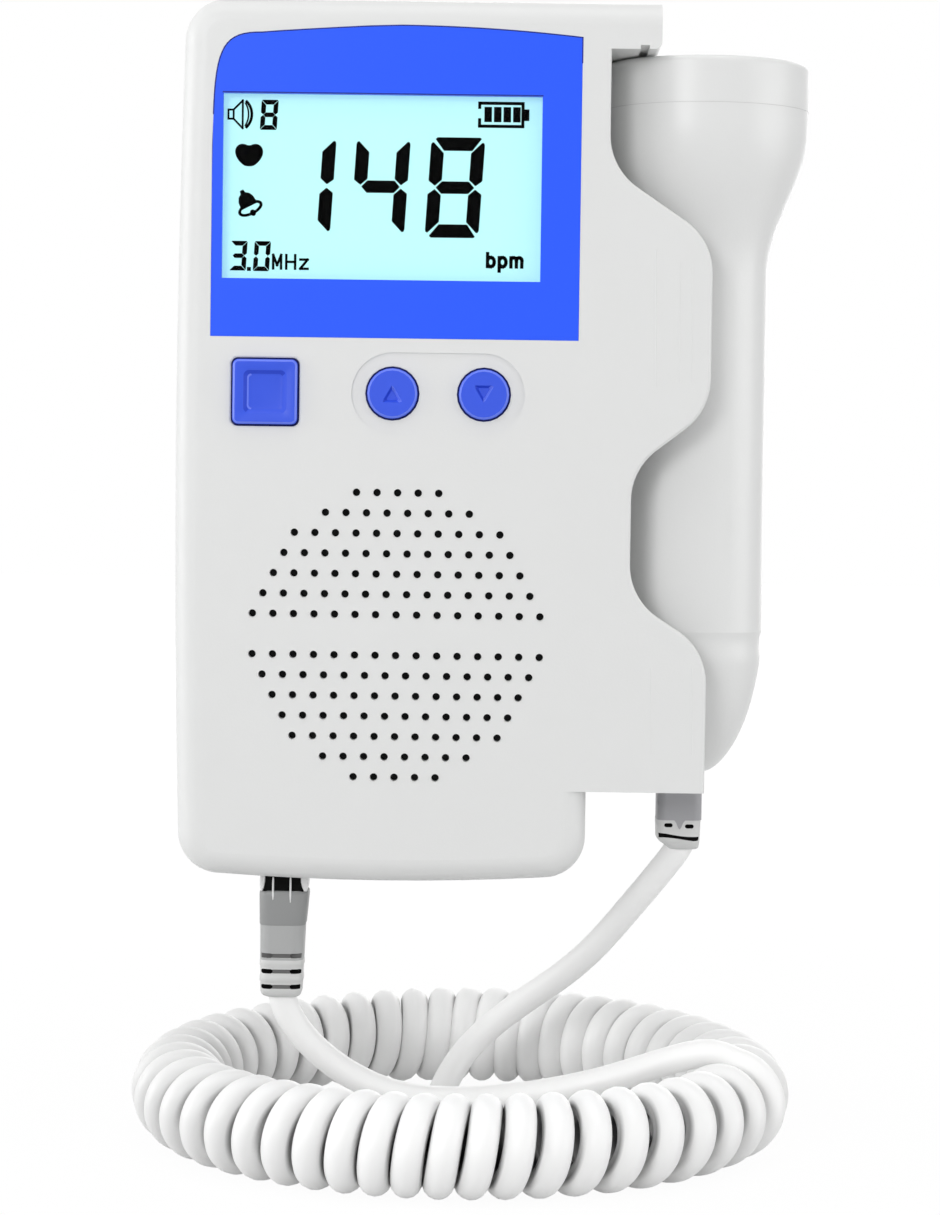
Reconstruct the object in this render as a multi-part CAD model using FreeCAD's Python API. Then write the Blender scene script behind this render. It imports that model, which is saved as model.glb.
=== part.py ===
"""Hand-held fetal doppler monitor: a two-shell case with a probe holster, a probe and its curly lead.

Frame: +Z up along the case, the front face looks along -Y, +X towards the holster.
The origin lies on the flat back face (Y = 0), on the speaker's centre line (X = 0) and at half the
case's height (Z = 0). All lengths are in millimetres.
"""

import FreeCAD, Part
import math
import os

os.makedirs("parts", exist_ok=True)

V = FreeCAD.Vector
UP = V(0, 0, 1)
BACKWARD = V(0, 1, 0)

# ---------------------------------------------------------------- driving dimensions: case
case_depth = 35.0
case_left = -33.5
case_right = 29.8
case_top = 68.0
case_bottom = -66.9
side_bow = 1.1
bottom_bow = 1.3
corner_r = 6.5
edge_r = 3.6
wall = 2.0
split_depth = 17.5
fit_gap = 0.15
slide_gap = 0.25

# holster flanges and the arm over the probe
flange_t = 2.2
flange_edge_r = 0.5
window_x = 32.0
window_top = 60.7
window_curve_top = 47.6
grip_x = 48.0
grip_top = 26.6
notch_curve_top = 10.3
notch_x = 36.0
notch_top = -8.4
notch_bottom = -18.4
lower_grip_top = -36.6
flange_bottom = -53.6
holster_curve_r = 9.6
arm_right = 39.7
arm_edge_r = 1.2
arm_notch_x = 36.4
arm_notch_w = 1.4
arm_notch_h = 0.6
guide_rib_t = 1.2
guide_rib_xs = (39.9, 45.2)
guide_rib_end = 8.0

# display
lens_left = -29.0
lens_right = 27.4
lens_bottom = 16.1
lens_top = 62.2
lens_top_bow = 1.5
lens_corner_r = 3.4
lens_t = 1.2
print_t = 0.2
view_left = -27.5
view_right = 21.5
view_bottom = 24.9
view_top = 53.25
view_margin = 1.2
lcd_border = 1.2
lcd_t = 2.0
backlight_t = 2.6
lcd_frame_wall = 1.2
zebra_h = 1.8

# buttons
button_z = 7.5
power_x = -20.6
power_size = 10.4
power_corner_r = 0.9
power_dish = 6.8
power_dish_depth = 0.5
power_proud = 0.9
volume_up_x = -1.0
volume_down_x = 13.1
volume_r = 4.1
volume_proud = 0.7
button_travel = 0.8
button_gap = 0.25
button_rim = 1.0
button_rim_t = 1.0
button_edge_r = 0.35
tray_r = 6.3
tray_depth = 0.25
stem_r = 1.6
switch_size = 6.0
switch_h = 3.5
plunger_r = 1.7
plunger_proud = 0.9
plunger_grip = 1.0
plunger_gap = 0.05
plunger_floor = 0.2

# circuit board
board_t = 1.6
board_left = -27.0
board_right = 25.0
board_bottom = -4.0
board_top = 57.8
board_setback = 6.4
chip_h = 1.4

# speaker
speaker_x = 0.0
speaker_z = -29.75
speaker_cone_r = 17.4
speaker_rim = 2.6
speaker_depth = 5.0
speaker_flange_t = 1.0
speaker_gasket_t = 0.8
speaker_basket_t = 1.0
cone_t = 0.6
cone_rim_gap = 0.3
cone_h = 2.4
cone_throat_r = 5.5
magnet_r = 9.0
magnet_t = 4.0
speaker_ring_t = 1.2
speaker_ring_h = 2.4
hole_r = 0.6
hole_pitch_x = 3.17
hole_pitch_z = 3.14
hole_rows = (5, 8, 11, 12, 13, 14, 15, 0, 15, 14, 13, 12, 11, 8, 5)

# battery bay and door
cell_r = 7.0
cell_len = 49.5
cell_edge_r = 0.6
cell_nub_r = 2.75
cell_nub_h = 1.0
bay_centre_x = -2.0
bay_gap = 0.4
bay_wall = 1.6
bay_top = -5.5
spring_room = 4.2
spring_r = 3.6
spring_wire_r = 0.35
spring_turns = 4
contact_t = 0.5
contact_half = 5.25
door_tongue = 0.9
door_tongue_t = 1.2
door_grip_ribs = 5
door_grip_pitch = 1.4
door_grip_rib_w = 0.6
door_grip_w = 12.0
door_grip_top = 6.0
door_grip_deep = 0.8
door_grip_end = 1.0

# screws that hold the two shells
screw_x_left = -27.8
screw_x_right = 24.4
screw_z_top = 61.2
screw_z_bottom = -59.8
screw_head_r = 2.2
screw_head_h = 1.6
screw_shank_r = 1.1
screw_len = 14.0
screw_seat_depth = 8.0
screw_cross_len = 2.6
screw_cross_w = 0.6
screw_cross_deep = 0.8
boss_r = 3.1

# lead socket, plug and boot under the case
plug_x = -17.8
plug_depth = 23.0
plug_w = 7.6
plug_d = 6.6
plug_insert = 10.5
plug_show = 2.7
plug_fit = 0.1
socket_wall = 1.6
socket_end = 2.6
boot_w = 8.1
boot_d = 7.2
boot_end_w = 6.3
boot_end_d = 6.0
boot_r = 1.8
boot_grip_len = 5.7
boot_len = 17.2
boot_slot_h = 0.7
boot_slot_deep = 1.0
boot_slot_first = 10.4
boot_slot_pitch = 2.45
boot_slots = 3
boot_bar = 0.8
pin_w = 0.6
pin_pitch = 1.27
pin_len = 5.0
pin_deep = 1.2
pins_in_plug = 4

# headphone socket on the top face
phone_x = -12.0
phone_r = 1.8
phone_len = 12.0
phone_body = 6.0
phone_neck_r = 2.15
phone_end = 1.0

# probe
head_x = 47.8
head_half_w = 16.3
head_half_d = 14.8
head_top = 60.5
cap_h = 7.3
cap_edge_r = 1.0
cap_wall = 1.2
cap_spigot = 2.5
handle_x = 46.25
handle_half_w = 11.6
handle_half_d = 11.0
handle_squareness = 2.6
probe_wall = 1.8
probe_floor = 3.6
neck_top = 50.5
neck_bottom = 27.5
tail_top = -29.0
tail_end = -51.5
tail_x = 45.2
tail_half_w = 3.9
tail_half_d = 4.6
tail_fullness = 0.61
shoulder_sections = 9
tail_sections = 9
oval_points = 24
crystal_r = 10.4
crystal_t = 0.8
crystal_gap = 0.8
backing_t = 4.0
probe_board_t = 1.2
probe_board_w = 10.0
probe_board_top = 38.0
probe_board_bottom = -30.0
probe_screw_z = (16.0, -24.0)
probe_screw_r = 0.9
probe_screw_head_r = 1.7
probe_screw_head_h = 1.1
probe_screw_seat = 5.5
probe_screw_len = 8.5
probe_boss_r = 2.4

# probe boot
probe_boot_w = 7.1
probe_boot_d = 7.4
probe_boot_r = 1.4
probe_boot_len = 7.8
relief_len = 4.8
relief_end_w = 5.4
relief_end_d = 6.0
relief_slots = 2
relief_slot_h = 0.7
relief_slot_deep = 0.9

# curly lead, which lies as a ring below the case
lead_d = 4.4
ring_x = 10.8
ring_depth = 20.0
ring_r = 44.7
coil_r = 7.75
floor_z = -110.4
coil_end_a = -34.0
coil_end_b = -14.0

# ---------------------------------------------------------------- derived places
y_front = -case_depth
y_split = -split_depth
y_inner_front = y_front + wall
y_inner_back = -wall
y_board_front = y_inner_front + board_setback
y_board_back = y_board_front + board_t
y_probe = y_front / 2
y_plug = -plug_depth
phone_half = phone_body / 2
phone_y = y_board_back + phone_half
speaker_r = speaker_cone_r + speaker_rim
seam_z = head_top - cap_h
coil_z = floor_z + coil_r
low_z = case_bottom - bottom_bow
reach = 400.0
overlap = 0.5
past = 1.0
thread_bite = 0.15
near = 0.01


# ---------------------------------------------------------------- shape helpers
def width_at(start, end, share):
    """A size part of the way from start to end."""
    return start + (end - start) * share


def block(x0, x1, y0, y1, z0, z1):
    """A box between two corners."""
    return Part.makeBox(x1 - x0, y1 - y0, z1 - z0, V(x0, y0, z0))


def post(x, z, r, y0, y1):
    """A round bar along Y from y0 to y1."""
    return Part.makeCylinder(r, y1 - y0, V(x, y0, z), BACKWARD)


def column(x, y, r, z0, z1):
    """A round bar along Z from z0 to z1."""
    return Part.makeCylinder(r, z1 - z0, V(x, y, z0), UP)


def line(a, b):
    """A straight edge in the XZ plane."""
    return Part.makeLine(V(a[0], 0, a[1]), V(b[0], 0, b[1]))


def arc(a, m, b):
    """An arc through three points of the XZ plane."""
    return Part.Arc(V(a[0], 0, a[1]), V(m[0], 0, m[1]), V(b[0], 0, b[1])).toShape()


def slab(edges, y0, y1):
    """The XZ outline made by edges, stretched from y0 to y1."""
    face = Part.Face(Part.Wire(Part.__sortEdges__(edges)))
    face.translate(V(0, y0, 0))
    return face.extrude(V(0, y1 - y0, 0))


def edges_along_y(shape):
    """The straight edges of a slab that run from front to back."""
    found = []
    for edge in shape.Edges:
        if isinstance(edge.Curve, Part.Line) and abs(edge.Curve.Direction.y) > 0.999:
            found.append(edge)
    return found


def edges_at_y(shape, y):
    """The edges of a slab that lie in one front-to-back plane."""
    return [e for e in shape.Edges if abs(e.BoundBox.YMin - y) < near and abs(e.BoundBox.YMax - y) < near]


def rounded_block(x0, x1, y0, y1, z0, z1, r):
    """A box whose four edges along Y are rounded."""
    body = block(x0, x1, y0, y1, z0, z1)
    return body.makeFillet(r, edges_along_y(body))


def tapered_boot(x, y, z0, w0, d0, z1, w1, d1, r):
    """A rounded bar from z0 down to z1 that narrows from w0 by d0 to w1 by d1."""
    wires = []
    for z, w, d in ((z0, w0, d0), (z1, w1, d1)):
        plate = block(x - w / 2, x + w / 2, y - d / 2, y + d / 2, z - past, z)
        upright = [e for e in plate.Edges if e.BoundBox.ZLength > past / 2]
        plate = plate.makeFillet(r, upright)
        top = max(plate.Faces, key=lambda f: f.CenterOfMass.z)
        wires.append(top.OuterWire)
    return Part.makeLoft(wires, True, True)


def save(name, shape):
    """Write one node and report its solids and volume."""
    solids = shape.Solids
    body = solids[0] if len(solids) == 1 else Part.makeCompound(solids)
    body.exportStep(f"parts/{name}.step")
    good = all(s.isValid() for s in solids)
    print(f"{name:22s} solids {len(solids):3d}  volume {shape.Volume:10.2f}  valid {good}")


# ---------------------------------------------------------------- case outlines
def case_slab(inset, y0, y1):
    """The case's outline, moved inwards by inset, with bowed left and bottom sides and round corners."""
    x0, x1 = case_left + inset, case_right - inset
    z0, z1 = case_bottom + inset, case_top - inset
    mid_x, mid_z = (x0 + x1) / 2, (z0 + z1) / 2
    outline = [
        arc((x0, z0), (x0 - side_bow, mid_z), (x0, z1)),
        line((x0, z1), (x1, z1)),
        line((x1, z1), (x1, z0)),
        arc((x1, z0), (mid_x, z0 - bottom_bow), (x0, z0)),
    ]
    body = slab(outline, y0, y1)
    rounded = [e for e in edges_along_y(body) if not (e.BoundBox.XMin > mid_x and e.BoundBox.ZMin > mid_z)]
    return body.makeFillet(corner_r - inset, rounded)


def s_curve(x0, z0, x1, z1, r):
    """A lead-in arc, a straight run and a lead-out arc between two upright lines, going down."""
    side = 1 if x1 > x0 else -1
    wide, tall = abs(x1 - x0), z0 - z1
    largest = (wide ** 2 + tall ** 2) / (4 * wide)
    r = min(r, 0.98 * largest)
    c0 = (x0 + side * r, z0)
    c1 = (x1 - side * r, z1)
    gap_x, gap_z = side * (c1[0] - c0[0]), c0[1] - c1[1]
    between = math.hypot(gap_x, gap_z)
    turn = math.atan2(gap_x, gap_z) + math.asin(2 * r / between)

    def on(centre, angle, way):
        return (centre[0] - way * side * r * math.cos(angle), centre[1] - way * r * math.sin(angle))

    p1, p2 = on(c0, turn, 1), on(c1, turn, -1)
    return [
        arc((x0, z0), on(c0, turn / 2, 1), p1),
        line(p1, p2),
        arc(p2, on(c1, turn / 2, -1), (x1, z1)),
    ]


def flange_plate(y0, y1, soft_y):
    """The wavy flange that covers the probe's handle, with its rim eased on the side at soft_y."""
    inner_x = case_right - corner_r
    edges = [line((inner_x, window_top + overlap), (window_x, window_top + overlap))]
    edges.append(line((window_x, window_top + overlap), (window_x, window_curve_top)))
    edges += s_curve(window_x, window_curve_top, grip_x, grip_top, holster_curve_r)
    edges.append(line((grip_x, grip_top), (grip_x, notch_curve_top)))
    edges += s_curve(grip_x, notch_curve_top, notch_x, notch_top, holster_curve_r)
    edges.append(line((notch_x, notch_top), (notch_x, notch_bottom)))
    edges += s_curve(notch_x, notch_bottom, grip_x, lower_grip_top, holster_curve_r)
    edges.append(line((grip_x, lower_grip_top), (grip_x, flange_bottom)))
    edges.append(line((grip_x, flange_bottom), (inner_x, flange_bottom)))
    edges.append(line((inner_x, flange_bottom), (inner_x, window_top + overlap)))
    body = slab(edges, y0, y1)
    rim = [e for e in edges_at_y(body, soft_y) if e.BoundBox.XMin > case_right]
    return body.makeFillet(flange_edge_r, rim)


def arm_block(y0, y1, face_y):
    """The bar that reaches over the probe's head, with the case's edge radius along its top at face_y."""
    start_x = case_right - corner_r
    body = block(start_x, arm_right, y0, y1, window_top, case_top)
    top = [e for e in edges_at_y(body, face_y) if e.BoundBox.ZMin > case_top - near]
    body = body.makeFillet(edge_r, top)
    right = [e for e in edges_along_y(body) if e.BoundBox.XMin > case_right]
    tip = [e for e in right if e.BoundBox.ZMax < window_top + near]
    body = body.makeFillet(arm_edge_r, tip)
    slot = block(arm_notch_x, arm_notch_x + arm_notch_w, y0 - past, y1 + past, window_top - past,
                 window_top + arm_notch_h)
    return body.cut(slot)


def guide_ribs(y_root, way):
    """Upright ribs inside a flange that steady the probe's handle."""
    half = guide_rib_t / 2
    ribs = []
    for x in guide_rib_xs:
        off_centre = max(abs(x - handle_x) - half, 0) / handle_half_w
        seat = handle_half_d * (1 - off_centre ** handle_squareness) ** (1 / handle_squareness)
        tall = abs(y_root - y_probe) - seat - slide_gap
        y0, y1 = sorted((y_root - way * overlap, y_root + way * tall))
        for z1, z0 in ((grip_top, notch_curve_top), (lower_grip_top, flange_bottom + guide_rib_end)):
            ribs.append(block(x - half, x + half, y0, y1, z0, z1))
    return ribs


def lens_slab(grow, y0, y1):
    """The display lens outline, grown by a clearance: arched top and one round corner."""
    x0, x1 = lens_left - grow, lens_right + grow
    z0, z1 = lens_bottom - grow, lens_top + grow
    outline = [
        line((x0, z0), (x1, z0)),
        line((x1, z0), (x1, z1)),
        arc((x1, z1), ((x0 + x1) / 2, z1 + lens_top_bow), (x0, z1)),
        line((x0, z1), (x0, z0)),
    ]
    body = slab(outline, y0, y1)
    corner = [e for e in edges_along_y(body) if e.BoundBox.XMax < x0 + near and e.BoundBox.ZMin > z1 - near]
    return body.makeFillet(lens_corner_r, corner)


def view_block(grow, y0, y1):
    """The rectangle of the display that is seen, grown by a margin."""
    return block(view_left - grow, view_right + grow, y0, y1, view_bottom - grow, view_top + grow)


def screw_places():
    """Centres of the four case screws."""
    return [(x, z) for x in (screw_x_left, screw_x_right) for z in (screw_z_top, screw_z_bottom)]


def button_outline(kind, x, grow, y0, y1):
    """A button's prism: square for the power button, round for the others."""
    if kind == "square":
        half = power_size / 2 + grow
        z0, z1 = button_z - half, button_z + half
        return rounded_block(x - half, x + half, y0, y1, z0, z1, power_corner_r + grow)
    return post(x, button_z, volume_r + grow, y0, y1)


buttons = {
    "power_button": ("square", power_x, power_proud),
    "volume_up_button": ("round", volume_up_x, volume_proud),
    "volume_down_button": ("round", volume_down_x, volume_proud),
}

# ---------------------------------------------------------------- front shell
def build_front_shell():
    """The front half of the case: display pocket, button holes, speaker grille, arm and front flange."""
    outer = case_slab(0, y_front, y_split)
    front = [e for e in edges_at_y(outer, y_front) if not e.BoundBox.XMin > case_right - near]
    outer = outer.makeFillet(edge_r, front)
    outer = outer.fuse(flange_plate(y_front, y_front + flange_t, y_front))
    outer = outer.fuse(arm_block(y_front, y_split, y_front))
    inner = case_slab(wall, y_inner_front, y_split + past)
    shell = outer.cut(inner)
    for rib in guide_ribs(y_front + flange_t, 1):
        shell = shell.fuse(rib)

    bosses = [post(x, z, boss_r, y_inner_front - overlap, y_split) for x, z in screw_places()]
    ring = post(speaker_x, speaker_z, speaker_r + fit_gap + speaker_ring_t, y_inner_front - overlap,
                y_inner_front + speaker_ring_h)
    ring = ring.cut(post(speaker_x, speaker_z, speaker_r + fit_gap, y_inner_front - past, y_split))
    for extra in bosses + [ring]:
        shell = shell.fuse(extra)

    cuts = [lens_slab(fit_gap, y_front - past, y_front + lens_t + print_t)]
    cuts.append(view_block(view_margin, y_front - past, y_inner_front + past))
    for kind, x, proud in buttons.values():
        cuts.append(button_outline(kind, x, button_gap, y_front - past, y_inner_front + past))
    cuts.append(block(volume_up_x, volume_down_x, y_front - past, y_front + tray_depth,
                      button_z - tray_r, button_z + tray_r))
    for x in (volume_up_x, volume_down_x):
        cuts.append(post(x, button_z, tray_r, y_front - past, y_front + tray_depth))
    for x, z in screw_places():
        thread_end = -screw_seat_depth - screw_len - past
        cuts.append(post(x, z, screw_shank_r - thread_bite, thread_end, y_split + past))
    half_w, half_d = plug_w / 2 + slide_gap, plug_d / 2 + slide_gap
    cuts.append(block(plug_x - half_w, plug_x + half_w, y_plug - half_d, y_plug + half_d,
                      low_z - past, case_bottom + wall + past))
    cuts.append(column(phone_x, phone_y, phone_neck_r + fit_gap, case_top - wall - past, case_top + past))
    for row, count in enumerate(hole_rows):
        z = speaker_z + (len(hole_rows) // 2 - row) * hole_pitch_z
        for i in range(count):
            x = speaker_x + (i - (count - 1) / 2) * hole_pitch_x
            cuts.append(post(x, z, hole_r, y_front - past, y_inner_front + past))
    return shell.cut(Part.makeCompound(cuts)).removeSplitter()


# ---------------------------------------------------------------- rear shell and battery door
bay_half_w = 2 * cell_r + bay_gap * 1.5
bay_x0 = bay_centre_x - bay_half_w
bay_x1 = bay_centre_x + bay_half_w
bay_front_y = y_inner_back - 2 * cell_r - bay_gap
bay_bottom = bay_top - cell_len - spring_room - 2 * contact_t
door_x0 = bay_x0 - fit_gap
door_x1 = bay_x1 + fit_gap
door_top = bay_top + bay_wall / 2
tongue_y = y_inner_back - door_tongue_t


def rear_outer():
    """The solid outside form of the rear half, without its hollow."""
    outer = case_slab(0, y_split, 0)
    back = [e for e in edges_at_y(outer, 0) if not e.BoundBox.XMin > case_right - near]
    return outer.makeFillet(edge_r, back)


def build_rear_shell():
    """The back half of the case: battery bay, screw posts, arm and rear flange."""
    shell = rear_outer().fuse(flange_plate(-flange_t, 0, 0))
    shell = shell.fuse(arm_block(y_split, 0, 0))
    shell = shell.cut(case_slab(wall, y_split - past, y_inner_back))
    for rib in guide_ribs(-flange_t, -1):
        shell = shell.fuse(rib)
    for x, z in screw_places():
        shell = shell.fuse(post(x, z, boss_r, y_split, y_inner_back + overlap))
    side = bay_wall + door_tongue
    tub = block(bay_x0 - side, bay_x1 + side, bay_front_y - bay_wall, y_inner_back + overlap,
                bay_bottom - bay_wall, bay_top + bay_wall)
    shell = shell.fuse(tub)
    cuts = [block(bay_x0, bay_x1, bay_front_y, past, bay_bottom, bay_top)]
    cuts.append(block(door_x0 - fit_gap, door_x1 + fit_gap, y_inner_back, past, low_z - past,
                      door_top + fit_gap))
    cuts.append(block(door_x0 - door_tongue - fit_gap, door_x1 + door_tongue + fit_gap, tongue_y - fit_gap,
                      y_inner_back, low_z - past, door_top + fit_gap))
    for x, z in screw_places():
        cuts.append(post(x, z, screw_head_r + fit_gap, -screw_seat_depth, past))
        cuts.append(post(x, z, screw_shank_r + fit_gap, y_split - past, past))
    return shell.cut(Part.makeCompound(cuts)).removeSplitter()


def build_battery_door():
    """The sliding cover of the battery bay, with two side tongues and a ribbed finger grip."""
    lid = rear_outer().common(block(door_x0, door_x1, y_inner_back, past, low_z - past, door_top))
    for x in (door_x0 - door_tongue, door_x1 - door_tongue):
        lid = lid.fuse(block(x, x + 2 * door_tongue, tongue_y, y_inner_back, bay_bottom, door_top))
    grip_z = door_top - door_grip_top
    x0, x1 = bay_centre_x - door_grip_w / 2, bay_centre_x + door_grip_w / 2
    lid = lid.cut(block(x0, x1, -door_grip_deep, past, grip_z - door_grip_ribs * door_grip_pitch, grip_z))
    for i in range(door_grip_ribs):
        z = grip_z - (i + 0.5) * door_grip_pitch
        lid = lid.fuse(block(x0 + door_grip_end, x1 - door_grip_end, -door_grip_deep - overlap, 0,
                             z - door_grip_rib_w / 2, z + door_grip_rib_w / 2))
    return lid.removeSplitter()


save("front_shell", build_front_shell())
save("rear_shell", build_rear_shell())
save("battery_door", build_battery_door())

# ---------------------------------------------------------------- batteries and their contacts
cell_y = y_inner_back - cell_r - bay_gap / 2
cell_z0 = bay_bottom + contact_t + spring_room
cell_xs = (bay_centre_x - cell_r - bay_gap / 4, bay_centre_x + cell_r + bay_gap / 4)


def build_cell(x):
    """One round cell with its raised positive end at the top."""
    can = column(x, cell_y, cell_r, cell_z0, cell_z0 + cell_len - cell_nub_h)
    can = can.makeFillet(cell_edge_r, [e for e in can.Edges if isinstance(e.Curve, Part.Circle)])
    cell_z1 = cell_z0 + cell_len
    return can.fuse(column(x, cell_y, cell_nub_r, cell_z1 - cell_nub_h - overlap, cell_z1))


def build_spring(x):
    """A coil of wire between the lower contact plate and the cell, in tilted half turns that meet level."""
    rise = (spring_room - 2 * spring_wire_r) / (2 * spring_turns)
    z0 = bay_bottom + contact_t + spring_wire_r
    arcs = []
    for i in range(2 * spring_turns):
        far = spring_r if i % 2 == 0 else -spring_r
        start = V(x + far, cell_y, z0 + i * rise)
        middle = V(x, cell_y + far, z0 + (i + 0.5) * rise)
        end = V(x - far, cell_y, z0 + (i + 1) * rise)
        arcs.append(Part.Arc(start, middle, end).toShape())
    section = Part.Wire(Part.makeCircle(spring_wire_r, arcs[0].Vertexes[0].Point, BACKWARD))
    return Part.Wire(arcs).makePipeShell([section], True, False)


for label, x in zip(("left", "right"), cell_xs):
    save(f"battery_cell_{label}", build_cell(x))
springs = [build_spring(x) for x in cell_xs]
save("battery_springs", Part.makeCompound(springs))
low_plate = block(cell_xs[0] - contact_half, cell_xs[1] + contact_half, cell_y - contact_half,
                  cell_y + contact_half, bay_bottom, bay_bottom + contact_t)
top_plates = [block(x - contact_half, x + contact_half, cell_y - contact_half, cell_y + contact_half,
                    bay_top - contact_t, bay_top) for x in cell_xs]
save("battery_contacts", Part.makeCompound([low_plate] + top_plates))

# ---------------------------------------------------------------- display
save("display_lens", lens_slab(0, y_front, y_front + lens_t))
print_frame = lens_slab(0, y_front + lens_t, y_front + lens_t + print_t)
save("lens_print", print_frame.cut(view_block(0, y_front, y_inner_front)))
lcd_grow = view_margin + lcd_border
lcd_y0 = y_inner_front
lcd_y1 = lcd_y0 + lcd_t
lcd_y2 = lcd_y1 + backlight_t
save("lcd_glass", view_block(lcd_grow, lcd_y0, lcd_y1))
save("lcd_backlight", view_block(lcd_grow - zebra_h, lcd_y1, lcd_y2))
frame_ring = view_block(lcd_grow + fit_gap + lcd_frame_wall, lcd_y0, y_board_front)
frame_ring = frame_ring.cut(view_block(lcd_grow + fit_gap, lcd_y0 - past, y_board_front + past))
ledge = view_block(lcd_grow + fit_gap + overlap, lcd_y2, y_board_front)
ledge = ledge.cut(view_block(view_margin - zebra_h, lcd_y1, y_board_front + past))
save("lcd_frame", frame_ring.fuse(ledge).removeSplitter())
zebra_z0 = view_bottom - lcd_grow
save("lcd_connector", block(view_left, view_right, lcd_y1, lcd_y2, zebra_z0, zebra_z0 + zebra_h - fit_gap))

# ---------------------------------------------------------------- circuit board, switches and buttons
board = block(board_left, board_right, y_board_front, y_board_back, board_bottom, board_top)
save("main_board", board)
chip_places = (
    (-14.0, 40.0, 10.0, 10.0),
    (8.0, 42.0, 7.0, 7.0),
    (-4.0, 22.0, 5.0, 9.0),
    (14.0, 18.0, 6.0, 5.0),
    (-20.0, 12.0, 4.0, 6.0),
    (2.0, 4.0, 8.0, 4.0),
)
chips = [block(x - w / 2, x + w / 2, y_board_back, y_board_back + chip_h, z - h / 2, z + h / 2)
         for x, z, w, h in chip_places]
save("board_chips", Part.makeCompound(chips))

switch_top = y_board_front - switch_h
plunger_top = switch_top - plunger_proud
hole_end = switch_top + plunger_grip + button_travel + plunger_floor
rim_y = y_inner_front + fit_gap
switches = []
for name, (kind, x, proud) in buttons.items():
    half = switch_size / 2
    case = block(x - half, x + half, switch_top, y_board_front, button_z - half, button_z + half)
    switches.append(case.cut(post(x, button_z, plunger_r + plunger_gap, switch_top - past, hole_end)))
    cap = button_outline(kind, x, 0, y_front - proud, rim_y + button_rim_t)
    cap = cap.makeFillet(button_edge_r, edges_at_y(cap, y_front - proud))
    cap = cap.fuse(button_outline(kind, x, button_rim, rim_y, rim_y + button_rim_t))
    cap = cap.fuse(post(x, button_z, stem_r, rim_y, plunger_top))
    if kind == "square":
        dish = power_dish / 2
        face_y = y_front - proud
        cap = cap.cut(rounded_block(x - dish, x + dish, face_y - past, face_y + power_dish_depth,
                                    button_z - dish, button_z + dish, power_corner_r))
    save(name, cap.removeSplitter())
    short = name.replace("_button", "")
    save(f"{short}_plunger", post(x, button_z, plunger_r, plunger_top, switch_top + plunger_grip))
save("switch_bodies", Part.makeCompound(switches))

# ---------------------------------------------------------------- speaker
def speaker_disc(r, y0, y1):
    """A round disc on the speaker's axis."""
    return post(speaker_x, speaker_z, r, y0, y1)


def speaker_bowl(r0, r1, y0, deep):
    """A cone on the speaker's axis that narrows from r0 at y0 to r1 behind it."""
    return Part.makeCone(r0, r1, deep, V(speaker_x, y0, speaker_z), BACKWARD)


gasket_y1 = y_inner_front + speaker_gasket_t
gasket = speaker_disc(speaker_r, y_inner_front, gasket_y1)
save("speaker_gasket", gasket.cut(speaker_disc(speaker_cone_r, y_inner_front - past, gasket_y1 + past)))
basket_y1 = gasket_y1 + speaker_depth
basket = speaker_disc(speaker_r, gasket_y1, gasket_y1 + speaker_flange_t)
basket = basket.fuse(speaker_bowl(speaker_cone_r + speaker_basket_t, magnet_r + speaker_basket_t, gasket_y1,
                                  speaker_depth))
save("speaker_frame", basket.cut(speaker_bowl(speaker_cone_r, magnet_r - speaker_basket_t,
                                              gasket_y1 - speaker_basket_t, speaker_depth)).removeSplitter())
cone_rim_r = speaker_cone_r - cone_rim_gap
cone_out = speaker_bowl(cone_rim_r, cone_throat_r, gasket_y1 - cone_t, cone_h)
save("speaker_cone", cone_out.cut(speaker_bowl(cone_rim_r, cone_throat_r, gasket_y1 - 2 * cone_t, cone_h)))
save("speaker_magnet", speaker_disc(magnet_r, basket_y1, basket_y1 + magnet_t))

# ---------------------------------------------------------------- case screws
def build_screws():
    """Four pan screws from the back, with cross slots in their heads."""
    made = []
    seat_y = -screw_seat_depth
    head_y = seat_y + screw_head_h
    far, thin = screw_cross_len / 2, screw_cross_w / 2
    for x, z in screw_places():
        head = post(x, z, screw_head_r, seat_y, head_y)
        shank = post(x, z, screw_shank_r, seat_y - screw_len, seat_y + overlap)
        cross = block(x - far, x + far, head_y - screw_cross_deep, head_y + past, z - thin, z + thin)
        upright = block(x - thin, x + thin, head_y - screw_cross_deep, head_y + past, z - far, z + far)
        cross = cross.fuse(upright)
        made.append(head.fuse(shank).cut(cross).removeSplitter())
    return made


save("case_screws", Part.makeCompound(build_screws()))

# ---------------------------------------------------------------- lead socket, plug and boot
plug_top = case_bottom + plug_insert
housing_end = low_z - plug_show
half_w, half_d = plug_w / 2, plug_d / 2


def plug_block(grow, z0, z1):
    """The plug's rectangle, grown by a clearance."""
    far_x, far_y = half_w + grow, half_d + grow
    return block(plug_x - far_x, plug_x + far_x, y_plug - far_y, y_plug + far_y, z0, z1)


socket = plug_block(socket_wall, case_bottom + wall, plug_top + socket_end)
save("lead_socket", socket.cut(plug_block(plug_fit, case_bottom, plug_top + plug_fit)))
housing = plug_block(0, housing_end, plug_top)
pin_xs = [plug_x + (i - (pins_in_plug - 1) / 2) * pin_pitch for i in range(pins_in_plug)]
pin_y0, pin_y1 = y_plug - half_d, y_plug - half_d + pin_deep
for x in pin_xs:
    housing = housing.cut(block(x - pin_w / 2, x + pin_w / 2, pin_y0 - past, pin_y1, plug_top - pin_len,
                                plug_top + past))
save("plug_housing", housing)
pins = [block(x - pin_w / 2, x + pin_w / 2, pin_y0 + fit_gap, pin_y1, plug_top - pin_len, plug_top - overlap)
        for x in pin_xs]
save("plug_contacts", Part.makeCompound(pins))

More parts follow.
